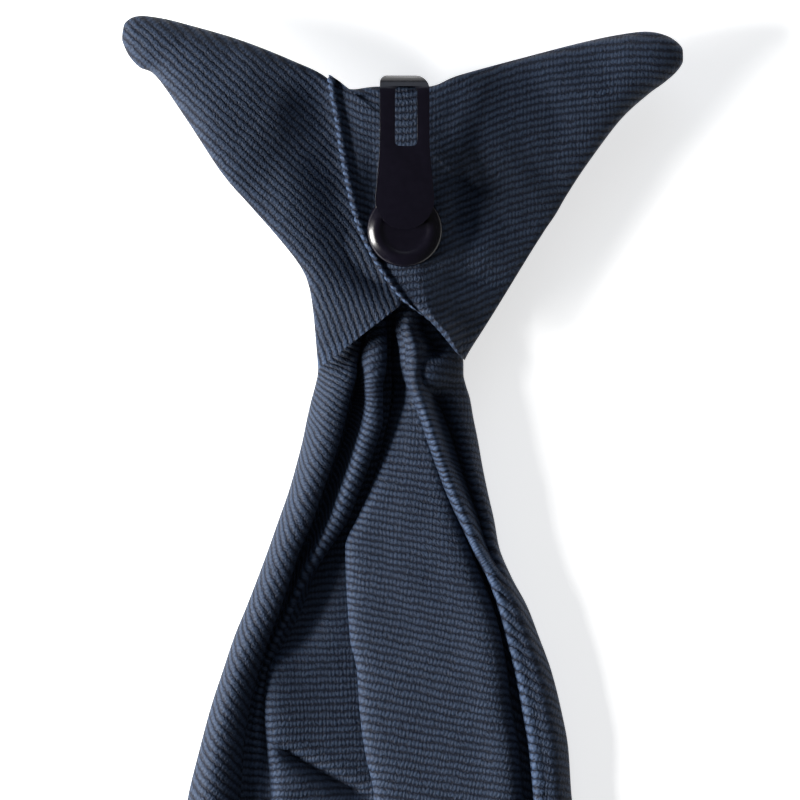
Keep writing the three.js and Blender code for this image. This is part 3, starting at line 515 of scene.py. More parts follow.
class StageSettings(PropertyGroup):
    """Camera, floor and lights."""

    view_width: FloatProperty(
        name="View Width", description="Width of the picture at the tie", subtype="DISTANCE",
        unit="LENGTH", default=144 * MM)
    view_x: FloatProperty(
        name="View Across", description="Middle of the picture across the tie", subtype="DISTANCE",
        unit="LENGTH", default=-0.45 * MM)
    view_y: FloatProperty(
        name="View Along", description="Middle of the picture along the tie", subtype="DISTANCE",
        unit="LENGTH", default=180.88 * MM)
    camera_height: FloatProperty(
        name="Camera Height", description="Camera over the surface", subtype="DISTANCE",
        unit="LENGTH", default=2.4)
    floor_color: FloatVectorProperty(
        name="Floor", description="Colour of the surface", subtype="COLOR",
        size=3, min=0, max=1, default=(0.92, 0.92, 0.92))
    floor_glow: FloatProperty(
        name="Floor Glow", description="Light of its own from the surface, as of a light table",
        min=0, default=0.66)
    key_power: FloatProperty(
        name="Key Light", description="Power of the light at the lower left", min=0, default=19.5)
    fill_power: FloatProperty(
        name="Fill Light", description="Power of the light behind the knot's top", min=0, default=2.2)
    world_strength: FloatProperty(
        name="Room Light", description="Strength of the light from all round", min=0, default=0.09)


# Helpers for rows and sections


def named(columns, row):
    return dict(zip(columns, row))


def hermite(t, start, end, slope, end_slope):
    """Place at t, from 0 to 1, on the curve from start to end that has these slopes there."""
    return (
        (2 * t**3 - 3 * t**2 + 1) * start + (t**3 - 2 * t**2 + t) * slope
        + (3 * t**2 - 2 * t**3) * end + (t**3 - t**2) * end_slope)


def smooth_rows(rows, counts):
    """Rows of numbers joined by smooth curves, with a count of steps from each row to the next."""
    rows = np.array(rows, float)
    padded = np.vstack([rows[:1], rows, rows[-1:]])
    result = []
    for index, count in enumerate(counts):
        before, start, end, after = padded[index:index + 4]
        for step in range(count):
            result.append(hermite(step / count, start, end, (end - before) / 2, (after - start) / 2))
    return np.array([*result, rows[-1]])


def monotone(places, values, at):
    """Values at new places by a curve that keeps between its neighbours, for one or many columns."""
    places, values, at = (np.array(numbers, float) for numbers in (places, values, at))
    if places[0] > places[-1]:
        places, values = places[::-1], values[::-1]
    values = values.reshape(len(places), -1)
    steps = np.diff(places)[:, None]
    chords = np.diff(values, axis=0) / steps
    same = chords[:-1] * chords[1:] > 0
    means = 2 * chords[:-1] * chords[1:] / np.where(same, chords[:-1] + chords[1:], 1)
    slopes = np.vstack([chords[:1], np.where(same, means, 0), chords[-1:]])
    index = np.clip(np.searchsorted(places, at, side="right") - 1, 0, len(places) - 2)
    step = steps[index]
    t = np.clip((at - places[index])[:, None] / step, 0, 1)
    return hermite(t, values[index], values[index + 1], step * slopes[index], step * slopes[index + 1])


def curve_through(points, steps):
    """Points of a centripetal curve through a polyline, steps for each stretch."""
    padded = np.vstack([2 * points[0] - points[1], points, 2 * points[-1] - points[-2]])
    result = []
    for index in range(len(points) - 1):
        p = padded[index:index + 4]
        gaps = np.maximum(np.linalg.norm(np.diff(p, axis=0), axis=1) ** 0.5, 1e-6)
        k = np.concatenate([[0], np.cumsum(gaps)])
        for step in range(steps):
            t = k[1] + (k[2] - k[1]) * step / steps
            a = [(k[i + 1] - t) / gaps[i] * p[i] + (t - k[i]) / gaps[i] * p[i + 1] for i in range(3)]
            b = [(k[i + 2] - t) / (k[i + 2] - k[i]) * a[i] + (t - k[i]) / (k[i + 2] - k[i]) * a[i + 1]
                 for i in range(2)]
            result.append((k[2] - t) / gaps[1] * b[0] + (t - k[1]) / gaps[1] * b[1])
    return np.array([*result, points[-1]])


def smoothstep(value, low, high):
    t = np.clip((value - low) / (high - low), 0, 1)
    return t * t * (3 - 2 * t)


def between(value, fades):
    """1 between two fades, each given as its low and high end, and 0 beyond them."""
    return smoothstep(value, *fades[0]) * (1 - smoothstep(value, *fades[1]))


def bead_at(places):
    """1 on the middle of each repeat and 0 between two."""
    return 1 - (2 * (places % 1) - 1) ** 2


def soft_noise(points, *kinds):
    """Smooth noise at points in millimetres, the sum of kinds given as their size, seed and strength."""
    total = 0
    for size, seed, strength in kinds:
        offset = Vector((seed * 7.3, seed * 3.1, seed * 5.7))
        total += strength * np.array([noise.noise(Vector(point) / size + offset) for point in points])
    return total


# Helpers for meshes


def deselect_all():
    if bpy.context.object and bpy.context.object.mode != "OBJECT":
        bpy.ops.object.mode_set(mode="OBJECT")
    bpy.ops.object.select_all(action="DESELECT")


def make_active(piece):
    deselect_all()
    piece.select_set(True)
    bpy.context.view_layer.objects.active = piece


def new_mesh(name, points, faces, weave, rub):
    """Object from points in millimetres, with the weave's along and across in millimetres as its UV
    and how much painted highlight each point gets, from 0 to 1."""
    mesh = bpy.data.meshes.new(name)
    mesh.from_pydata((points * MM).tolist(), [], faces)
    mesh.validate()
    layer = mesh.uv_layers.new(name="weave")
    layer.data.foreach_set("uv", np.array(weave, np.float32).ravel())
    highlighted = mesh.attributes.new("rub", "FLOAT", "POINT")
    highlighted.data.foreach_set("value", np.array(rub, np.float32).ravel())
    mesh.shade_smooth()
    piece = bpy.data.objects.new(name, mesh)
    bpy.context.scene.collection.objects.link(piece)
    return piece


def face_out(piece):
    make_active(piece)
    bpy.ops.object.mode_set(mode="EDIT")
    bpy.ops.mesh.select_all(action="SELECT")
    bpy.ops.mesh.normals_make_consistent(inside=False)
    bpy.ops.object.mode_set(mode="OBJECT")


def apply_modifier(piece, kind, **values):
    """Adds a modifier with these values to the active piece and applies it."""
    modifier = piece.modifiers.new(kind.lower(), kind)
    for name, value in values.items():
        setattr(modifier, name, value)
    bpy.ops.object.modifier_apply(modifier=modifier.name)


def pick(piece, kind, test):
    """Selects the edges or faces that pass a test and leaves the active piece in edit mode."""
    bpy.ops.object.mode_set(mode="EDIT")
    bpy.ops.mesh.select_mode(type=kind)
    bpy.ops.mesh.select_all(action="DESELECT")
    bpy.ops.object.mode_set(mode="OBJECT")
    for part in piece.data.edges if kind == "EDGE" else piece.data.polygons:
        part.select = test(part)
    bpy.ops.object.mode_set(mode="EDIT")


def ends_of(piece, edge):
    return [piece.data.vertices[index].co for index in edge.vertices]


def add_form(add, middle, scale=(1, 1, 1), **values):
    """Plane, cube or cylinder round a middle in millimetres, scaled, with its place in the mesh."""
    deselect_all()
    add(location=[place * MM for place in middle], **values)
    piece = bpy.context.object
    piece.scale = scale
    bpy.ops.object.transform_apply(location=True, rotation=True, scale=True)
    return piece


def finish_piece(piece, material, slot, *nodes):
    piece.data.materials.clear()
    piece.data.materials.append(material)
    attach(piece, "root")
    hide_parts(*nodes)


# Helpers for materials


class Nodes:
    """Short calls that add and join the nodes of one tree."""

    def __init__(self, tree):
        self.tree = tree

    def fill(self, node, inputs):
        """Sets or joins a node's inputs, by name or number."""
        for name, value in inputs.items():
            if isinstance(value, bpy.types.NodeSocket):
                self.tree.links.new(value, node.inputs[name])
            else:
                node.inputs[name].default_value = value

    def add(self, kind, inputs, **values):
        node = self.tree.nodes.new(kind)
        for name, value in values.items():
            setattr(node, name, value)
        self.fill(node, inputs)
        return node

    def math(self, operation, *values):
        return self.add("ShaderNodeMath", dict(enumerate(values)), operation=operation).outputs[0]

    def mix(self, factor, first, second):
        return self.add("ShaderNodeMix", {0: factor, 6: first, 7: second}, data_type="RGBA").outputs[2]

    def noise(self, vector, scale, detail, dimensions):
        inputs = {"Vector": vector, "Scale": scale, "Detail": detail}
        return self.add("ShaderNodeTexNoise", inputs, noise_dimensions=dimensions).outputs[0]

    def bump(self, height, strength, distance):
        inputs = {"Height": height, "Strength": strength, "Distance": distance}
        return self.add("ShaderNodeBump", inputs).outputs[0]

    def rounded(self, places, power):
        """1 on the middle of each repeat and 0 between two, rounded off by a power."""
        inside = self.math("SUBTRACT", self.math("MULTIPLY", self.math("FRACT", places), 2), 1)
        return self.math("SUBTRACT", 1, self.math("POWER", self.math("ABSOLUTE", inside), power))


def new_material(name):
    material = bpy.data.materials.new(name)
    material.use_nodes = True
    return material, Nodes(material.node_tree), material.node_tree.nodes["Principled BSDF"]


def tones(color, *shares):
    """The same colour lighter or darker, once for each share."""
    return [(*(value * share for value in color), 1) for share in shares]


def corded_weave():
    """Node group of cords side by side, crossed by fine yarns in line from cord to cord."""
    if "corded_weave" in bpy.data.node_groups:
        return bpy.data.node_groups["corded_weave"]
    group = bpy.data.node_groups.new("corded_weave", "ShaderNodeTree")
    group.interface.new_socket("Weave", in_out="INPUT", socket_type="NodeSocketVector")
    for way, names in (("INPUT", ("Pitch", "Yarn", "Wobble")), ("OUTPUT", ("Height", "Crest", "Tone"))):
        for name in names:
            group.interface.new_socket(name, in_out=way, socket_type="NodeSocketFloat")
    n = Nodes(group)
    source = n.add("NodeGroupInput", {}).outputs
    split = n.add("ShaderNodeSeparateXYZ", {0: source["Weave"]}).outputs
    slow = n.noise(source["Weave"], SLOW_SCALE, SLOW_DETAIL, "2D")
    fine = n.noise(source["Weave"], FINE_SCALE, FINE_DETAIL, "2D")
    shift = n.math("MULTIPLY", n.math("SUBTRACT", slow, 0.5), source["Wobble"])
    tremble = n.math("MULTIPLY", n.math("SUBTRACT", fine, 0.5), TREMBLE)
    across = n.math("ADD", n.math("DIVIDE", split[1], source["Pitch"]), n.math("ADD", shift, tremble))
    along = n.math("DIVIDE", split[0], source["Yarn"])
    along = n.math("ADD", along, n.math("MULTIPLY", shift, YARN_WOBBLE))
    along = n.math("ADD", along, n.math("MULTIPLY", tremble, YARN_TREMBLE))
    yarn = n.rounded(along, YARN_POWER)
    stitch = n.math("ADD", 1 - STITCH, n.math("MULTIPLY", yarn, STITCH))
    height = n.math("MULTIPLY", n.rounded(across, CORD_POWER), stitch)
    plain = n.math("MULTIPLY", n.math("SUBTRACT", PLAIN_LEVEL, slow), PLAIN_GAIN)
    plain = n.math("MAXIMUM", plain, 0)
    # Crest share: how far the cord's colour shows over the painted valley shade.
    crest = n.math("SUBTRACT", height, CREST_LEVEL)
    crest = n.math("MULTIPLY", crest, n.math("SUBTRACT", CREST_GAIN, plain))
    crest = n.math("ADD", crest, n.math("MULTIPLY", plain, PLAIN_TONE))
    tone = n.math("ADD", n.math("MULTIPLY", slow, SLOW_TONE), n.math("MULTIPLY", fine, 1 - SLOW_TONE))
    crest = n.math("MINIMUM", n.math("MAXIMUM", crest, 0), 1)
    n.add("NodeGroupOutput", {"Height": height, "Crest": crest, "Tone": tone})
    return group


def cloth_material():
    """Dark corded cloth that follows the weave UV, lighter where a painted highlight is set."""
    if "corded cloth" in bpy.data.materials:
        return bpy.data.materials["corded cloth"]
    settings = bpy.context.scene.tie_cloth
    material, n, shader = new_material("corded cloth")
    weave = n.add("ShaderNodeGroup", {
        "Weave": n.add("ShaderNodeUVMap", {}, uv_map="weave").outputs[0],
        "Pitch": settings.pitch / MM,
        "Yarn": settings.yarn / MM,
        "Wobble": WOBBLE,
    }, node_tree=corded_weave()).outputs
    dark, light, highlighted = tones(settings.crest_color, CREST_DARK, CREST_LIGHT, CREST_HIGHLIGHTED)
    # Painted highlight: crests, edges and hem made lighter to stand in for the light they catch.
    rub = n.add("ShaderNodeAttribute", {}, attribute_name="rub").outputs["Fac"]
    crest = n.mix(rub, n.mix(weave["Tone"], dark, light), highlighted)
    n.fill(shader, {
        # Base colour mixes the cord colour with the painted shade of the valleys by the weave's crest
        # share.
        "Base Color": n.mix(weave["Crest"], (*settings.valley_shade_color, 1), crest),
        "Normal": n.bump(weave["Height"], 1, settings.depth),
        "Roughness": settings.roughness,
        "Specular IOR Level": 0.22,
        "Sheen Weight": settings.sheen,
        "Sheen Roughness": 0.4,
        "Sheen Tint": (0.62, 0.72, 0.95, 1),
    })
    return material


def plastic_material():
    """Glossy moulded plastic with faint scuffs."""
    if "black plastic" in bpy.data.materials:
        return bpy.data.materials["black plastic"]
    settings = bpy.context.scene.tie_clip
    material, n, shader = new_material("black plastic")
    grain = n.noise(n.add("ShaderNodeTexCoord", {}).outputs["Object"], 900, 4, "3D")
    roughness = n.add("ShaderNodeMapRange", {
        0: grain, "To Min": settings.roughness * 0.75, "To Max": settings.roughness * 1.35}).outputs[0]
    n.fill(shader, {
        "Base Color": n.mix(grain, *tones(settings.color, 0.8, 1.3)),
        "Normal": n.bump(grain, 0.12, 0.05 * MM),
        "Roughness": roughness,
        "IOR": 1.42,
    })
    return material


# Folded sleeves of the knot


def sleeve_samples(around):
    """Shares across and up of the points round a sleeve, the top from edge to edge and back below."""
    top = around * 2 // 3
    across_top = np.sin(np.linspace(-math.pi / 2, math.pi / 2, top))
    across_low = np.sin(np.linspace(math.pi / 2, -math.pi / 2, around - top + 2))[1:-1]
    side = np.concatenate([np.ones(top), -np.ones(len(across_low))])
    return np.concatenate([across_top, across_low]), side


def sleeve_rings(rows, around, wall, shape):
    """Rings round a sleeve, or round its hollow where there is a wall. shape(ring, across, side, row) bends
    each and says how much painted highlight its points get."""
    across, side = sleeve_samples(around)
    rings = []
    for row in rows:
        r = named(SLEEVE_COLUMNS, row)
        edge = np.array([r["edge_x"] * HALF_SPAN, KNOT_TOP - r["edge_y"] * KNOT_HEIGHT])
        top = np.array([r["top_x"] * HALF_SPAN, KNOT_TOP - r["top_y"] * KNOT_HEIGHT])
        seat = min(max(r["seat"], 0), 1)
        thickness = r["thick"] * (WING_THICKNESS + (WRAP_THICKNESS - WING_THICKNESS) * seat)
        power = WING_POWER + (WRAP_POWER - WING_POWER) * seat
        level = WING_MIDDLE + (RIM_LEVEL + thickness / 2 - WING_MIDDLE) * seat
        middle, reach = (edge + top) / 2, (top - edge) / 2
        length = np.linalg.norm(reach)
        inwards = max(length - wall, THIN_HALF_WIDTH) / length
        up = side * (1 - np.abs(across) ** power) ** (1 / power)
        place = (across * inwards + 1) / 2
        slope = (np.clip(place / CROSSING_SHARE, 0, 1) + smoothstep(place, 0, CROSSING_SHARE)) / 2
        rise = r["lift"] * CROSSING_RISE * slope
        ring = np.column_stack([
            middle[0] + across * inwards * reach[0],
            middle[1] + across * inwards * reach[1],
            level + rise + up * (thickness / 2 - wall),
        ])
        r.update(seat=seat, reach=length, hollow=wall > 0)
        rings.append(np.column_stack(shape(ring, across, side, r)))
    return rings


def sleeve_piece(name, table, folded_from, shape, weave_of):
    """Closed wall of cloth round a hollow, with more rows from a row of the table on."""
    settings = bpy.context.scene.tie_cloth
    around, stretches = settings.around, len(table) - 1
    counts = [settings.steps] * folded_from + [settings.folded_steps] * (stretches - folded_from)
    rings = sleeve_rings(smooth_rows(table, counts), around, 0, shape)
    inner_rows = smooth_rows(table, [HOLLOW_STEPS] * stretches)[HOLLOW_START:]
    rings += sleeve_rings(inner_rows, around, CLOTH_WALL, shape)[::-1]
    points = np.vstack(rings)
    points, rub = points[:, :3], np.append(points[:, 3], [0, 0])
    faces = []
    for first in range(0, (len(rings) - 1) * around, around):
        for side in range(around):
            a, b = first + side, first + (side + 1) % around
            faces.append((a, b, b + around, a + around))
    for first, turned in ((0, True), (len(points) - around, False)):
        hub = len(points)
        points = np.vstack([points, points[first:first + around].mean(0)])
        for side in range(around):
            a, b = first + side, first + (side + 1) % around
            faces.append((hub, b, a) if turned else (hub, a, b))
    uv = weave_of(points)
    piece = new_mesh(name, points, faces, [uv[index] for face in faces for index in face], rub)
    face_out(piece)
    return piece


def soften(ring, top, seed):
    """Adds soft unevenness to a ring, as far as top says."""
    strength = bpy.context.scene.tie_cloth.unevenness / MM
    ring[:, 2] += strength * soft_noise(ring, (9, seed, 1), (4, seed + 3, 0.5)) * top


def height_at(table, at):
    """Height at places of the line that has the slopes of a table."""
    places = np.linspace(table[0][0], table[-1][0], 200)
    slopes = monotone(*zip(*table), places)[:, 0]
    heights = np.concatenate([[0], np.cumsum((slopes[1:] + slopes[:-1]) / 2 * np.diff(places))])
    return np.interp(at, places, heights)


def left_weave(points):
    angle = math.radians(LEFT_RIB_ANGLE)
    along = points[:, 0] * math.cos(angle) + points[:, 1] * math.sin(angle)
    across = -points[:, 0] * math.sin(angle) + points[:, 1] * math.cos(angle)
    return np.column_stack([along, across - height_at(LEFT_TURN, along)])


def right_weave(points):
    return np.column_stack([points[:, 0], points[:, 1] - height_at(RIGHT_SLOPE, points[:, 0])])


def shape_left(ring, across, side, row):
    """Left wrap: dipped beside the crossing fold, softly dented, and with a painted highlight along its
    hem.
    """
    crown = 1 - across**4
    x, y = ring[:, 0], ring[:, 1]
    fold = np.array(CROSSING_FOLD[::-1])
    away = np.interp(y, fold[:, 1], fold[:, 0]) - x
    dip = np.exp(-(np.clip(away, 0, None) / DIP_REACH) ** 2) * (away > -DIP_UNDER_FOLD)
    dip *= DIP_DEPTH * between(y, DIP_FADES) * crown
    ring[:, 2] -= dip * np.where(side > 0, 1, 0.5 * smoothstep(y, *SAG_FADE))
    soften(ring, crown * (side > 0), 1)
    return ring, HEM_HIGHLIGHT * smoothstep(row["edge_y"], *HEM_FADE) * row["seat"] * (side > 0)


def shape_right(ring, across, side, row):
    """Right wrap: dented beside the hook and low on the right, with a cord-like folded edge."""
    top = (1 - across**4) * (side > 0)
    for dent in DENTS:
        d = named(DENT_COLUMNS, dent)
        off_x, off_y = (ring[:, 0] - d["x"]) / d["reach_x"], (ring[:, 1] - d["y"]) / d["reach_y"]
        ring[:, 2] += d["rise"] * top * np.exp(-off_x**2 - off_y**2)
    soften(ring, top, 2)
    if row["hollow"]:
        return ring, 0 * across
    fade_in, fade_out = (smoothstep(row["edge_y"], *fade) for fade in ROPE_FADES)
    folded = fade_in * (1 - ROPE_FADED * fade_out)
    inside = (1 - across) * row["reach"]
    bead = bead_at(right_weave(ring)[:, 1] / bpy.context.scene.tie_cloth.pitch * MM)
    from_crest = 2 * inside / ROPE_WIDTH - 1
    round_off = 1 - np.sqrt(np.clip(1 - from_crest ** 2, 0, 1))
    round_off = np.where(from_crest > 0, ROPE_DROP_INSIDE * round_off, round_off)
    rope = ring[:, 2].max() + ROPE_HEIGHT * (1 - ROPE_BEAD + ROPE_BEAD * bead) - ROPE_DROP * round_off
    trough = TROUGH_DEPTH * np.exp(-((inside / ROPE_WIDTH - TROUGH_PLACE) / TROUGH_REACH) ** 2)
    rolled = np.where(inside < ROPE_WIDTH, np.maximum(rope - ring[:, 2], 0), 0)
    ring[:, 2] += folded * (rolled - trough) * (side > 0)
    ring[:, 0] -= folded * EDGE_BEAD * bead * smoothstep(across, *EDGE_FADE)
    # Painted highlight along the folded edge, standing in for a lit crest.
    rub = folded * (side > 0) * (1 - smoothstep(inside / ROPE_WIDTH, *ROPE_HIGHLIGHT_FADE))
    return ring, rub


class TIE_OT_left_wrap(Operator):
    """Add the left wing and wrap, a folded sleeve of corded cloth"""

    bl_idname = "tie.left_wrap"
    bl_label = "Left Wrap"

    def execute(self, context):
        piece = sleeve_piece("left_wrap_cloth", LEFT_SLEEVE, LEFT_FOLDED_FROM, shape_left, left_weave)
        finish_piece(piece, cloth_material(), "ribbed_cloth", "left_wrap")
        return {"FINISHED"}


class TIE_OT_right_wrap(Operator):
    """Add the right wing and wrap, a folded sleeve that crosses over the left one"""

    bl_idname = "tie.right_wrap"
    bl_label = "Right Wrap"

    def execute(self, context):
        piece = sleeve_piece("right_wrap_cloth", RIGHT_SLEEVE, RIGHT_FOLDED_FROM, shape_right, right_weave)
        finish_piece(piece, cloth_material(), "ribbed_cloth", "right_wrap")
        return {"FINISHED"}


# Sheets with a wall of even thickness


def sheet_piece(name, grid, wall, weave, rub):
    """Closed wall on both sides of a grid of points. weave holds each point's place in the weave twice, as
    the face before it and the one after it see it."""
    rows, columns = grid.shape[:2]
    faces, corners = [], []
    for row in range(rows - 1):
        for column in range(columns - 1):
            a = row * columns + column
            faces.append((a, a + 1, a + 1 + columns, a + columns))
            corners.extend((
                weave[row, column, 1], weave[row, column + 1, 0],
                weave[row + 1, column + 1, 0], weave[row + 1, column, 1]))
    piece = new_mesh(name, grid.reshape(-1, 3), faces, corners, rub)
    make_active(piece)
    apply_modifier(
        piece, "SOLIDIFY", thickness=wall * MM, offset=0, use_even_offset=False, use_rim=True)
    face_out(piece)
    return piece


class TIE_OT_knot_front(Operator):
    """Add the plain front of the knot, a shell that lies on the surface"""

    bl_idname = "tie.knot_front"
    bl_label = "Knot Front"

    def execute(self, context):
        top = FRONT_HIGH.y - FRONT_SETBACK
        angles = np.linspace(math.pi, 2 * math.pi, FRONT_COUNT)
        grid = []
        for row in smooth_rows(FRONT_ROWS, [FRONT_STEPS] * (len(FRONT_ROWS) - 1)):
            r = named(FRONT_COLUMNS, row)
            across = np.sign(np.cos(angles)) * np.abs(np.cos(angles)) ** (2 / FRONT_POWER)
            hang = -np.abs(np.sin(angles)) ** (2 / FRONT_POWER) * min(r["depth"], 1)
            x = r["middle"] + across * r["half"]
            near = np.maximum(0, 1 - np.abs(x - HOOK_MIDDLE) / FRONT_RISE_HALF)
            z = FRONT_DEPTH + hang * (FRONT_DEPTH - FRONT_WALL / 2)
            z = z + r["rise"] * smoothstep(near, 0, FRONT_RISE_FADE)
            grid.append(np.column_stack([x, np.full_like(x, top - r["down"]), z]))
        grid = np.array(grid)
        weave = np.stack([grid[:, :, :2]] * 2, axis=2)
        piece = sheet_piece("knot_front_cloth", grid, FRONT_WALL, weave, np.zeros(grid.shape[:2]))
        finish_piece(piece, cloth_material(), "ribbed_cloth", "knot_front")
        return {"FINISHED"}


# Blade


def section(left, right, front, curl, rounding, left_flap, right_flap):
    """Control points of one section, from the left flap's end round the front to the right flap's."""
    low = front + BLADE_WALL / 2
    points = [*left_flap, (left, (low + curl + left_flap[-1][1]) / 2)]
    for share in np.linspace(0, 1, FRONT_POINTS):
        x = left + rounding + (right - left - 2 * rounding) * share
        points.append((x, low + curl * abs(2 * share - 1) ** 3))
    return [*points, (right, (low + curl + right_flap[0][1]) / 2), *right_flap]


def gathered_sections():
    """Places along the tie and control points of the gathered sections."""
    places, sections = [], []
    for row, *flaps in zip(SECTIONS, LEFT_PLACES, LEFT_HEIGHTS, RIGHT_PLACES, RIGHT_HEIGHTS):
        r = named(SECTION_COLUMNS, row)
        left, right = r["left"] + BLADE_WALL / 2, r["right"] - BLADE_WALL / 2
        width = right - left
        left_flap, right_flap = (
            [(left + width * place / 100, height) for place, height in zip(*flap)][::-1]
            for flap in (flaps[:2], flaps[2:]))
        curl = FRONT_CURL * min(r["front"] / FRONT_LIFT, 1)
        places.append(WAIST - r["down"])
        sections.append(
            section(left, right, r["front"], curl, FRONT_ROUNDING * width, left_flap, right_flap))
    return places, sections


def flat_section(middle, half_width, reach, drop):
    """Control points of a flat section whose flaps reach inwards from its long edges."""
    half = half_width - BLADE_WALL / 2
    level = BLADE_HEIGHT - BLADE_WALL / 2
    left, right = middle - half, middle + half
    start = min(FOLD_ROUND, 0.6 * reach)
    left_flap = [
        (left + start + (reach - start) * share, level - drop * smoothstep(share, LAP_FROM, 1))
        for share in np.linspace(0, 1, LEFT_COUNT)]
    right_flap = [
        (right - start - (reach - start) * share, level) for share in np.linspace(0, 1, RIGHT_COUNT)]
    return section(left, right, 0, 0, min(FOLD_ROUND, half / 2), left_flap[::-1], right_flap)


def flat_sections():
    """Places along the tie and control points from the gathers to the point."""
    last = named(SECTION_COLUMNS, SECTIONS[-1])
    start, corners = WAIST - last["down"], BLADE_LOW.y + POINT_LENGTH
    middle_start, half_start = (last["left"] + last["right"]) / 2, (last["right"] - last["left"]) / 2
    half_end, opening = BLADE_HIGH.x, corners + FLAP_OPENING
    rows = [(start - below, 0) for below in BELOW_GATHERS]
    rows += [(opening + above, 0) for above in ABOVE_OPENING]
    rows += [(opening - FLAP_OPENING * share, share) for share in OPENING_SHARES]
    places, sections = [], []
    for y, open_share in rows:
        run = (start - y) / (start - corners)
        half = half_start + (half_end - half_start) * run
        reach = (half + FLAP_LAP / 2) * (1 - open_share) + HEM_WIDTH * open_share
        drop = LAP_DROP * max(0, 1 - open_share / LAP_ENDS)
        places.append(y)
        sections.append(flat_section(middle_start * (1 - run), half, reach, drop))
    for share in POINT_SHARES:
        half = half_end + (POINT_HALF_WIDTH - half_end) * share
        places.append(corners - (POINT_LENGTH - BLADE_WALL / 3) * share)
        sections.append(flat_section(0, half, min(HEM_WIDTH, half - HEM_GAP), 0))
    return places, sections


def blade_grid(strength):
    """Rows of points over the whole blade, from its end in the knot to its point."""
    gathered, flat = gathered_sections(), flat_sections()
    places = gathered[0] + flat[0]
    controls = np.array(gathered[1] + flat[1]).reshape(len(places), -1)
    rows = []
    for high, low, step in ROW_STEPS:
        rows.extend(np.arange(min(high, places[0]), max(low, places[-1]), -step))
    rows.append(places[-1])
    grid = []
    for y, points in zip(rows, monotone(places, controls, rows)):
        line = curve_through(points.reshape(-1, 2), SECTION_STEPS)
        z = np.maximum(line[:, 1], BLADE_WALL / 2)
        grid.append(np.column_stack([line[:, 0], np.full(len(line), y), z]))
    grid = np.array(grid)
    up = smoothstep(grid[:, :, 2], *WAVES_HEIGHT_FADE)
    near = smoothstep(grid[:, :, 1], *WAVES_FADE)
    waves = soft_noise(grid.reshape(-1, 3), *BLADE_WAVES).reshape(up.shape)
    grid[:, :, 2] += strength * waves * up * (WAVES_LEAST + (1 - WAVES_LEAST) * near)
    flap = grid[:, :fold_columns(grid.shape[1])["side_edge"] + 1]
    flap[:, :, 2] -= CREASE_DEPTH * crease_near(flap) * smoothstep(flap[:, :, 2], *CREASE_HEIGHT_FADE)
    return grid


def crease_near(points):
    """1 on the line of the crease, fading to 0 on both sides and at its ends."""
    line = np.array(CREASE_LINE, float)
    share = (points[:, :, 0] - line[0, 0]) / (line[-1, 0] - line[0, 0])
    off = points[:, :, 1] - np.interp(points[:, :, 0], line[:, 0], line[:, 1])
    width = np.where(off > 0, CREASE_SHARPNESS * CREASE_WIDTH, CREASE_WIDTH)
    return np.exp(-(off / width) ** 2) * between(share, CREASE_FADES)


def fold_columns(columns):
    """The grid's column on each named fold."""
    fold = {name: (LEFT_COUNT - 1 - LEFT_FOLDS.index(name)) * SECTION_STEPS for name in LEFT_FOLDS}
    fold.update({name: columns - 1 - RIGHT_FOLDS.index(name) * SECTION_STEPS for name in RIGHT_FOLDS})
    return fold


def across_cloth(grid):
    """Each point's way along its section, in millimetres."""
    arc = np.zeros(grid.shape[:2])
    arc[:, 1:] = np.cumsum(np.linalg.norm(np.diff(grid, axis=1), axis=2), axis=1)
    return arc


def blade_weave(grid):
    """Each point's place in the weave, stretch by stretch, as seen from both of its sides."""
    rows, columns = grid.shape[:2]
    arc, y, fold = across_cloth(grid), grid[:, 0, 1], fold_columns(columns)
    left = LEFT_COUNT * SECTION_STEPS + 2
    right = columns - 3 - RIGHT_COUNT * SECTION_STEPS
    stretches = (
        ("side", 0, fold["pleat_under"]),
        ("pleat", fold["pleat_under"], fold["groove"]),
        ("roll", fold["groove"], left),
        ("side", left, right),
        ("ridge", right, fold["right_groove"]),
        ("panel", fold["right_groove"], columns - 1),
    )
    weave = np.zeros((rows, columns, 2, 2))
    places = [row[0] for row in RIB_ANGLES]
    for name, first, last in stretches:
        angles = [named(RIB_ANGLE_COLUMNS, row)[name] for row in RIB_ANGLES]
        angle = np.radians(monotone(places, angles, y)[:, 0])
        middle = (angle[1:] + angle[:-1]) / 2
        move_x, move_y = np.diff(grid[:, first, 0]), np.diff(y)
        start_u = np.concatenate([[0], np.cumsum(np.cos(middle) * move_x + np.sin(middle) * move_y)])
        start_v = np.concatenate([[0], np.cumsum(np.cos(middle) * move_y - np.sin(middle) * move_x)])
        turned = 1 if name == "side" and first else -1
        for column in range(first, last + 1):
            across = turned * (arc[:, column] - arc[:, first])
            place = np.column_stack([start_u + across * np.cos(angle), start_v - across * np.sin(angle)])
            if column > first or first == 0:
                weave[:, column, 0] = place
            if column < last or last == columns - 1:
                weave[:, column, 1] = place
    return weave


def blade_highlight(grid):
    """How much painted highlight each point gets: the crests of the folds above the flat blade."""
    arc, fold = across_cloth(grid), fold_columns(grid.shape[1])
    rub = np.zeros(arc.shape)
    for name, (strength, reach) in HIGHLIGHTED_FOLDS.items():
        away = arc - arc[:, fold[name]][:, None]
        rub = np.maximum(rub, strength * np.exp(-(away / reach) ** 2))
    return rub * between(grid[:, :, 1], HIGHLIGHT_FADES)


class TIE_OT_blade(Operator):
    """Add the blade, one folded cloth with its gathers, back seam and point"""

    bl_idname = "tie.blade"
    bl_label = "Blade"

    def execute(self, context):
        settings = context.scene.tie_cloth
        grid = blade_grid(settings.unevenness / MM)
        weave, rub = blade_weave(grid), blade_highlight(grid)
        grid[:, :, 2] += BEAD_HEIGHT * rub * (bead_at(weave[:, :, 0, 1] / settings.pitch * MM) - 0.5)
        piece = sheet_piece("blade_cloth", grid, BLADE_WALL, weave, rub)
        finish_piece(piece, cloth_material(), "ribbed_cloth", "blade")
        return {"FINISHED"}


# Hook and pad


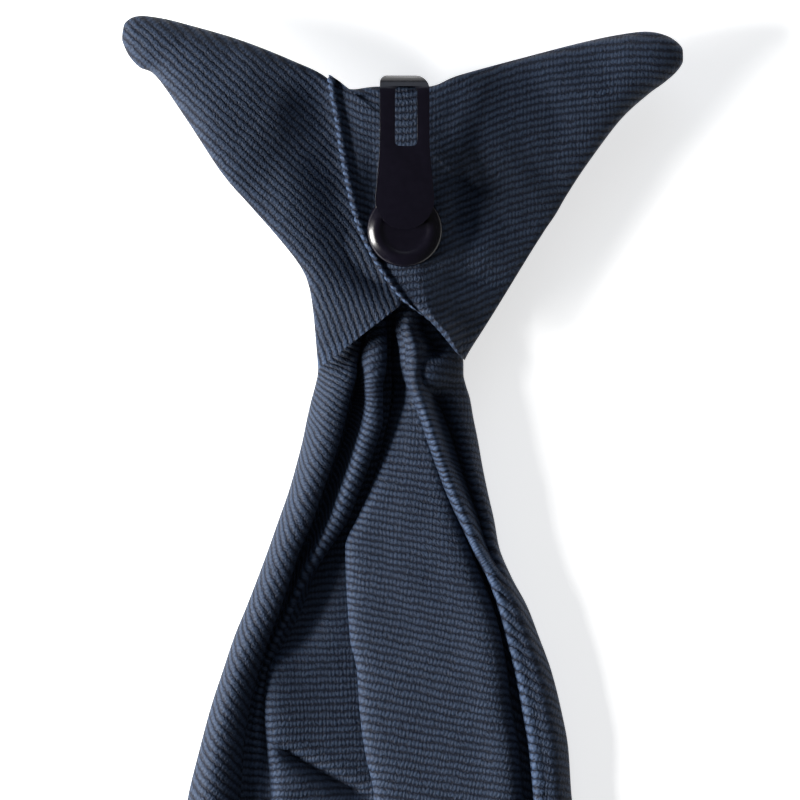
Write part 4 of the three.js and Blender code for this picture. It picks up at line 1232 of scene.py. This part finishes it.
class TIE_OT_clip(Operator):
    """Add the moulded plastic hook and the round pad under its tongue"""

    bl_idname = "tie.clip"
    bl_label = "Clip"

    def execute(self, context):
        self.add_hook(context.scene.tie_clip.edge)
        self.add_pad()
        return {"FINISHED"}

    def add_hook(self, edge_width):
        """A bent strip, cut to its outline and slotted, with rounded edges."""
        piece = self.add_strip()
        tools = ((self.add_outline(), "INTERSECT"), (self.add_slot(), "DIFFERENCE"))
        make_active(piece)
        for tool, operation in tools:
            apply_modifier(piece, "BOOLEAN", object=tool, operation=operation, solver="EXACT")
        for tool, _ in tools:
            bpy.data.objects.remove(tool)
        make_active(piece)
        bpy.ops.object.mode_set(mode="EDIT")
        bpy.ops.mesh.select_all(action="SELECT")
        bpy.ops.mesh.remove_doubles(threshold=NEAR * MM)
        bpy.ops.mesh.dissolve_limited(angle_limit=math.radians(1))
        bpy.ops.object.mode_set(mode="OBJECT")
        apply_modifier(
            piece, "BEVEL", width=edge_width, segments=EDGE_SEGMENTS, limit_method="ANGLE",
            angle_limit=math.radians(40))
        bpy.ops.object.shade_smooth_by_angle(angle=math.radians(38))
        finish_piece(piece, plastic_material(), "black_plastic", "clip_hook")

    def hook_path(self):
        """Middle of the strip's wall from the end of the inner leg round the bend to the tongue's end."""
        half, radius = HOOK_WALL / 2, HOOK_BEND_RADIUS
        bend, low, high = HOOK_HIGH.y - half - radius, HOOK_LOW.z + half, HOOK_HIGH.z - half
        path = [(HOOK_HIGH.y - HOOK_INNER_LENGTH, low)]
        for middle, start in ((low + radius, -90), (high - radius, 0)):
            for step in range(HOOK_BEND_STEPS + 1):
                angle = math.radians(start + 90 * step / HOOK_BEND_STEPS)
                path.append((bend + radius * math.cos(angle), middle + radius * math.sin(angle)))
        path.append((HOOK_HIGH.y - HOOK_STRAIGHT_LENGTH, high))
        path.append((HOOK_LOW.y - TONGUE_OVERLENGTH, PAD_HIGH.z + TONGUE_CLEARANCE + half))
        return path

    def add_strip(self):
        """The strip, an edge of a plane extruded along the path and given its wall."""
        path = self.hook_path()
        (start_y, start_z), (next_y, _) = path[:2]
        piece = add_form(
            bpy.ops.mesh.primitive_plane_add, (HOOK_MIDDLE, (start_y + next_y) / 2, start_z),
            (2 * HOOK_END_WIDTH * MM, (next_y - start_y) * MM, 1), size=1)
        piece.name = "plastic_hook"
        pick(piece, "EDGE", lambda edge: all(end.y > (next_y - NEAR) * MM for end in ends_of(piece, edge)))
        for (y, z), (far_y, far_z) in zip(path[1:], path[2:]):
            step = (0, (far_y - y) * MM, (far_z - z) * MM)
            bpy.ops.mesh.extrude_region_move(TRANSFORM_OT_translate={"value": step})
        bpy.ops.object.mode_set(mode="OBJECT")
        face_out(piece)
        apply_modifier(piece, "SOLIDIFY", thickness=HOOK_WALL * MM, offset=0, use_even_offset=True)
        face_out(piece)
        return piece

    def add_outline(self):
        """The hook's outline from above: straight legs, a flaring tongue and its round end."""
        low, top = HOOK_FLARE_Y, HOOK_HIGH.y
        end = HOOK_LOW.y + HOOK_END_WIDTH / 2
        height = 4 * (HOOK_HIGH.z - HOOK_LOW.z)
        round_end = add_form(
            bpy.ops.mesh.primitive_cylinder_add, (HOOK_MIDDLE, end, HOOK_LEVEL),
            vertices=HOOK_END_SIDES, radius=HOOK_END_WIDTH / 2 * MM, depth=0.9 * height * MM)
        outline = add_form(
            bpy.ops.mesh.primitive_cube_add, (HOOK_MIDDLE, (low + top) / 2, HOOK_LEVEL),
            (HOOK_WIDTH * MM, (top - low) * MM, height * MM), size=1)
        for side, radius in HOOK_CORNERS:
            pick(outline, "EDGE", lambda edge: self.is_corner(ends_of(outline, edge), side))
            bpy.ops.mesh.bevel(offset=radius * MM, segments=CORNER_SEGMENTS, affect="EDGES")
            bpy.ops.object.mode_set(mode="OBJECT")
        pick(outline, "FACE", lambda face: face.normal.y < -0.9 and face.center.y < (low + NEAR) * MM)
        bpy.ops.mesh.extrude_region_move(TRANSFORM_OT_translate={"value": (0, (end - low) * MM, 0)})
        bpy.ops.transform.resize(
            value=(HOOK_END_WIDTH / HOOK_WIDTH, 1, 1),
            center_override=(HOOK_MIDDLE * MM, end * MM, HOOK_LEVEL * MM))
        bpy.ops.object.mode_set(mode="OBJECT")
        apply_modifier(outline, "BOOLEAN", object=round_end, operation="UNION", solver="EXACT")
        bpy.data.objects.remove(round_end)
        return outline

    def is_corner(self, ends, side):
        """Whether an edge is the upright one at the hook's top on this side."""
        reach = HOOK_WIDTH / 2 - NEAR
        return abs(ends[0].z - ends[1].z) > MM and all(
            end.y > (HOOK_HIGH.y - NEAR) * MM and side * (end.x - HOOK_MIDDLE * MM) > reach * MM
            for end in ends)

    def add_slot(self):
        """The slot's form, a block with rounded corners that reaches through the tongue alone."""
        top = HOOK_HIGH.y - SLOT_TOP_WALL
        slot = add_form(
            bpy.ops.mesh.primitive_cube_add,
            (HOOK_MIDDLE + SLOT_OFFSET, (top + HOOK_FLARE_Y) / 2, HOOK_LEVEL + SLOT_REACH / 2),
            (SLOT_WIDTH * MM, (top - HOOK_FLARE_Y) * MM, SLOT_REACH * MM), size=1)
        apply_modifier(slot, "BEVEL", width=SLOT_CORNER * MM, segments=EDGE_SEGMENTS, affect="EDGES")
        return slot

    def add_pad(self):
        """A cylinder with a rounded rim and a shallow dish."""
        top = PAD_HIGH.z - sum(max(up, 0) for _, up in PAD_RIM)
        middle = (PAD_LOW + PAD_HIGH) / 2
        piece = add_form(
            bpy.ops.mesh.primitive_cylinder_add, (middle.x, middle.y, (top + PAD_LOW.z) / 2),
            vertices=PAD_SIDES, radius=(PAD_HIGH.x - PAD_LOW.x) / 2 * MM, depth=(top - PAD_LOW.z) * MM)
        piece.name = "plastic_pad"
        pick(piece, "FACE", lambda face: face.normal.z > 0.9 and face.center.z > (top - NEAR) * MM)
        for inwards, up in PAD_RIM:
            bpy.ops.mesh.inset(thickness=inwards * MM)
            bpy.ops.transform.translate(value=(0, 0, up * MM))
        bpy.ops.object.mode_set(mode="OBJECT")
        bpy.ops.object.shade_smooth_by_angle(angle=math.radians(42))
        finish_piece(piece, plastic_material(), "black_plastic", "clip_pad")


# Stage


class TIE_OT_stage(Operator):
    """Add the camera, the pale floor and the soft lights"""

    bl_idname = "tie.stage"
    bl_label = "Stage"

    def execute(self, context):
        scene, settings = context.scene, context.scene.tie_stage
        target = Vector((settings.view_x, settings.view_y, TARGET_HEIGHT))
        self.add_floor(settings)
        camera = self.add_object(scene, "camera", bpy.data.cameras.new("camera"))
        camera.location = (target.x, target.y, settings.camera_height)
        distance = settings.camera_height - target.z
        camera.data.lens = camera.data.sensor_width * distance / settings.view_width
        camera.data.clip_end = VIEW_END
        scene.camera = camera
        for row in LIGHTS:
            r = named(LIGHT_COLUMNS, row)
            light = self.add_object(scene, r["name"], bpy.data.lights.new(r["name"], "AREA"))
            light.location = target + Vector(r["place"])
            light.rotation_euler = (target - light.location).to_track_quat("-Z", "Y").to_euler()
            light.data.size = r["size"]
            light.data.color = r["color"]
            light.data.energy = getattr(settings, r["power"])
        scene.world = bpy.data.worlds.new("room")
        scene.world.use_nodes = True
        background = scene.world.node_tree.nodes["Background"]
        background.inputs[0].default_value = (1, 1, 1, 1)
        background.inputs[1].default_value = settings.world_strength
        scene.view_settings.view_transform = "Standard"
        return {"FINISHED"}

    def add_object(self, scene, name, data):
        added = bpy.data.objects.new(name, data)
        scene.collection.objects.link(added)
        return added

    def add_floor(self, settings):
        deselect_all()
        bpy.ops.mesh.primitive_plane_add(size=FLOOR_SIZE, location=(0, 0, -FLOOR_DROP))
        floor = bpy.context.object
        floor.name = "floor"
        material, n, shader = new_material("pale floor")
        n.fill(shader, {
            "Base Color": (*settings.floor_color, 1),
            "Roughness": FLOOR_ROUGHNESS,
            "Emission Color": (1, 1, 1, 1),
            "Emission Strength": settings.floor_glow,
        })
        floor.data.materials.append(material)


class TIE_PT_panel(Panel):
    """Lists the tie's pieces and their sizes"""

    bl_idname = "TIE_PT_panel"
    bl_label = "Clip On Tie"
    bl_space_type = "VIEW_3D"
    bl_region_type = "UI"
    bl_category = "Tie"

    def draw(self, context):
        layout = self.layout
        for operator in OPERATORS:
            layout.operator(operator.bl_idname)
        for settings in (context.scene.tie_cloth, context.scene.tie_clip, context.scene.tie_stage):
            box = layout.box()
            for name in settings.__annotations__:
                box.prop(settings, name)


OPERATORS = (
    TIE_OT_stage, TIE_OT_knot_front, TIE_OT_blade, TIE_OT_left_wrap, TIE_OT_right_wrap, TIE_OT_clip)
SETTINGS = {"tie_cloth": ClothSettings, "tie_clip": ClipSettings, "tie_stage": StageSettings}


def register():
    for cls in (*SETTINGS.values(), *OPERATORS, TIE_PT_panel):
        bpy.utils.register_class(cls)
    for name, cls in SETTINGS.items():
        setattr(bpy.types.Scene, name, PointerProperty(type=cls))


def unregister():
    for name in SETTINGS:
        delattr(bpy.types.Scene, name)
    for cls in (TIE_PT_panel, *reversed(OPERATORS), *reversed(SETTINGS.values())):
        bpy.utils.unregister_class(cls)


def plain(bounds):
    return [[float(value) for value in corner] for corner in bounds]


def main():
    register()
    bpy.ops.tie.stage()
    bpy.ops.tie.knot_front()
    bpy.ops.tie.blade()
    bpy.ops.tie.left_wrap()
    bpy.ops.tie.right_wrap()
    bpy.ops.tie.clip()


if __name__ == "__main__":
    main()
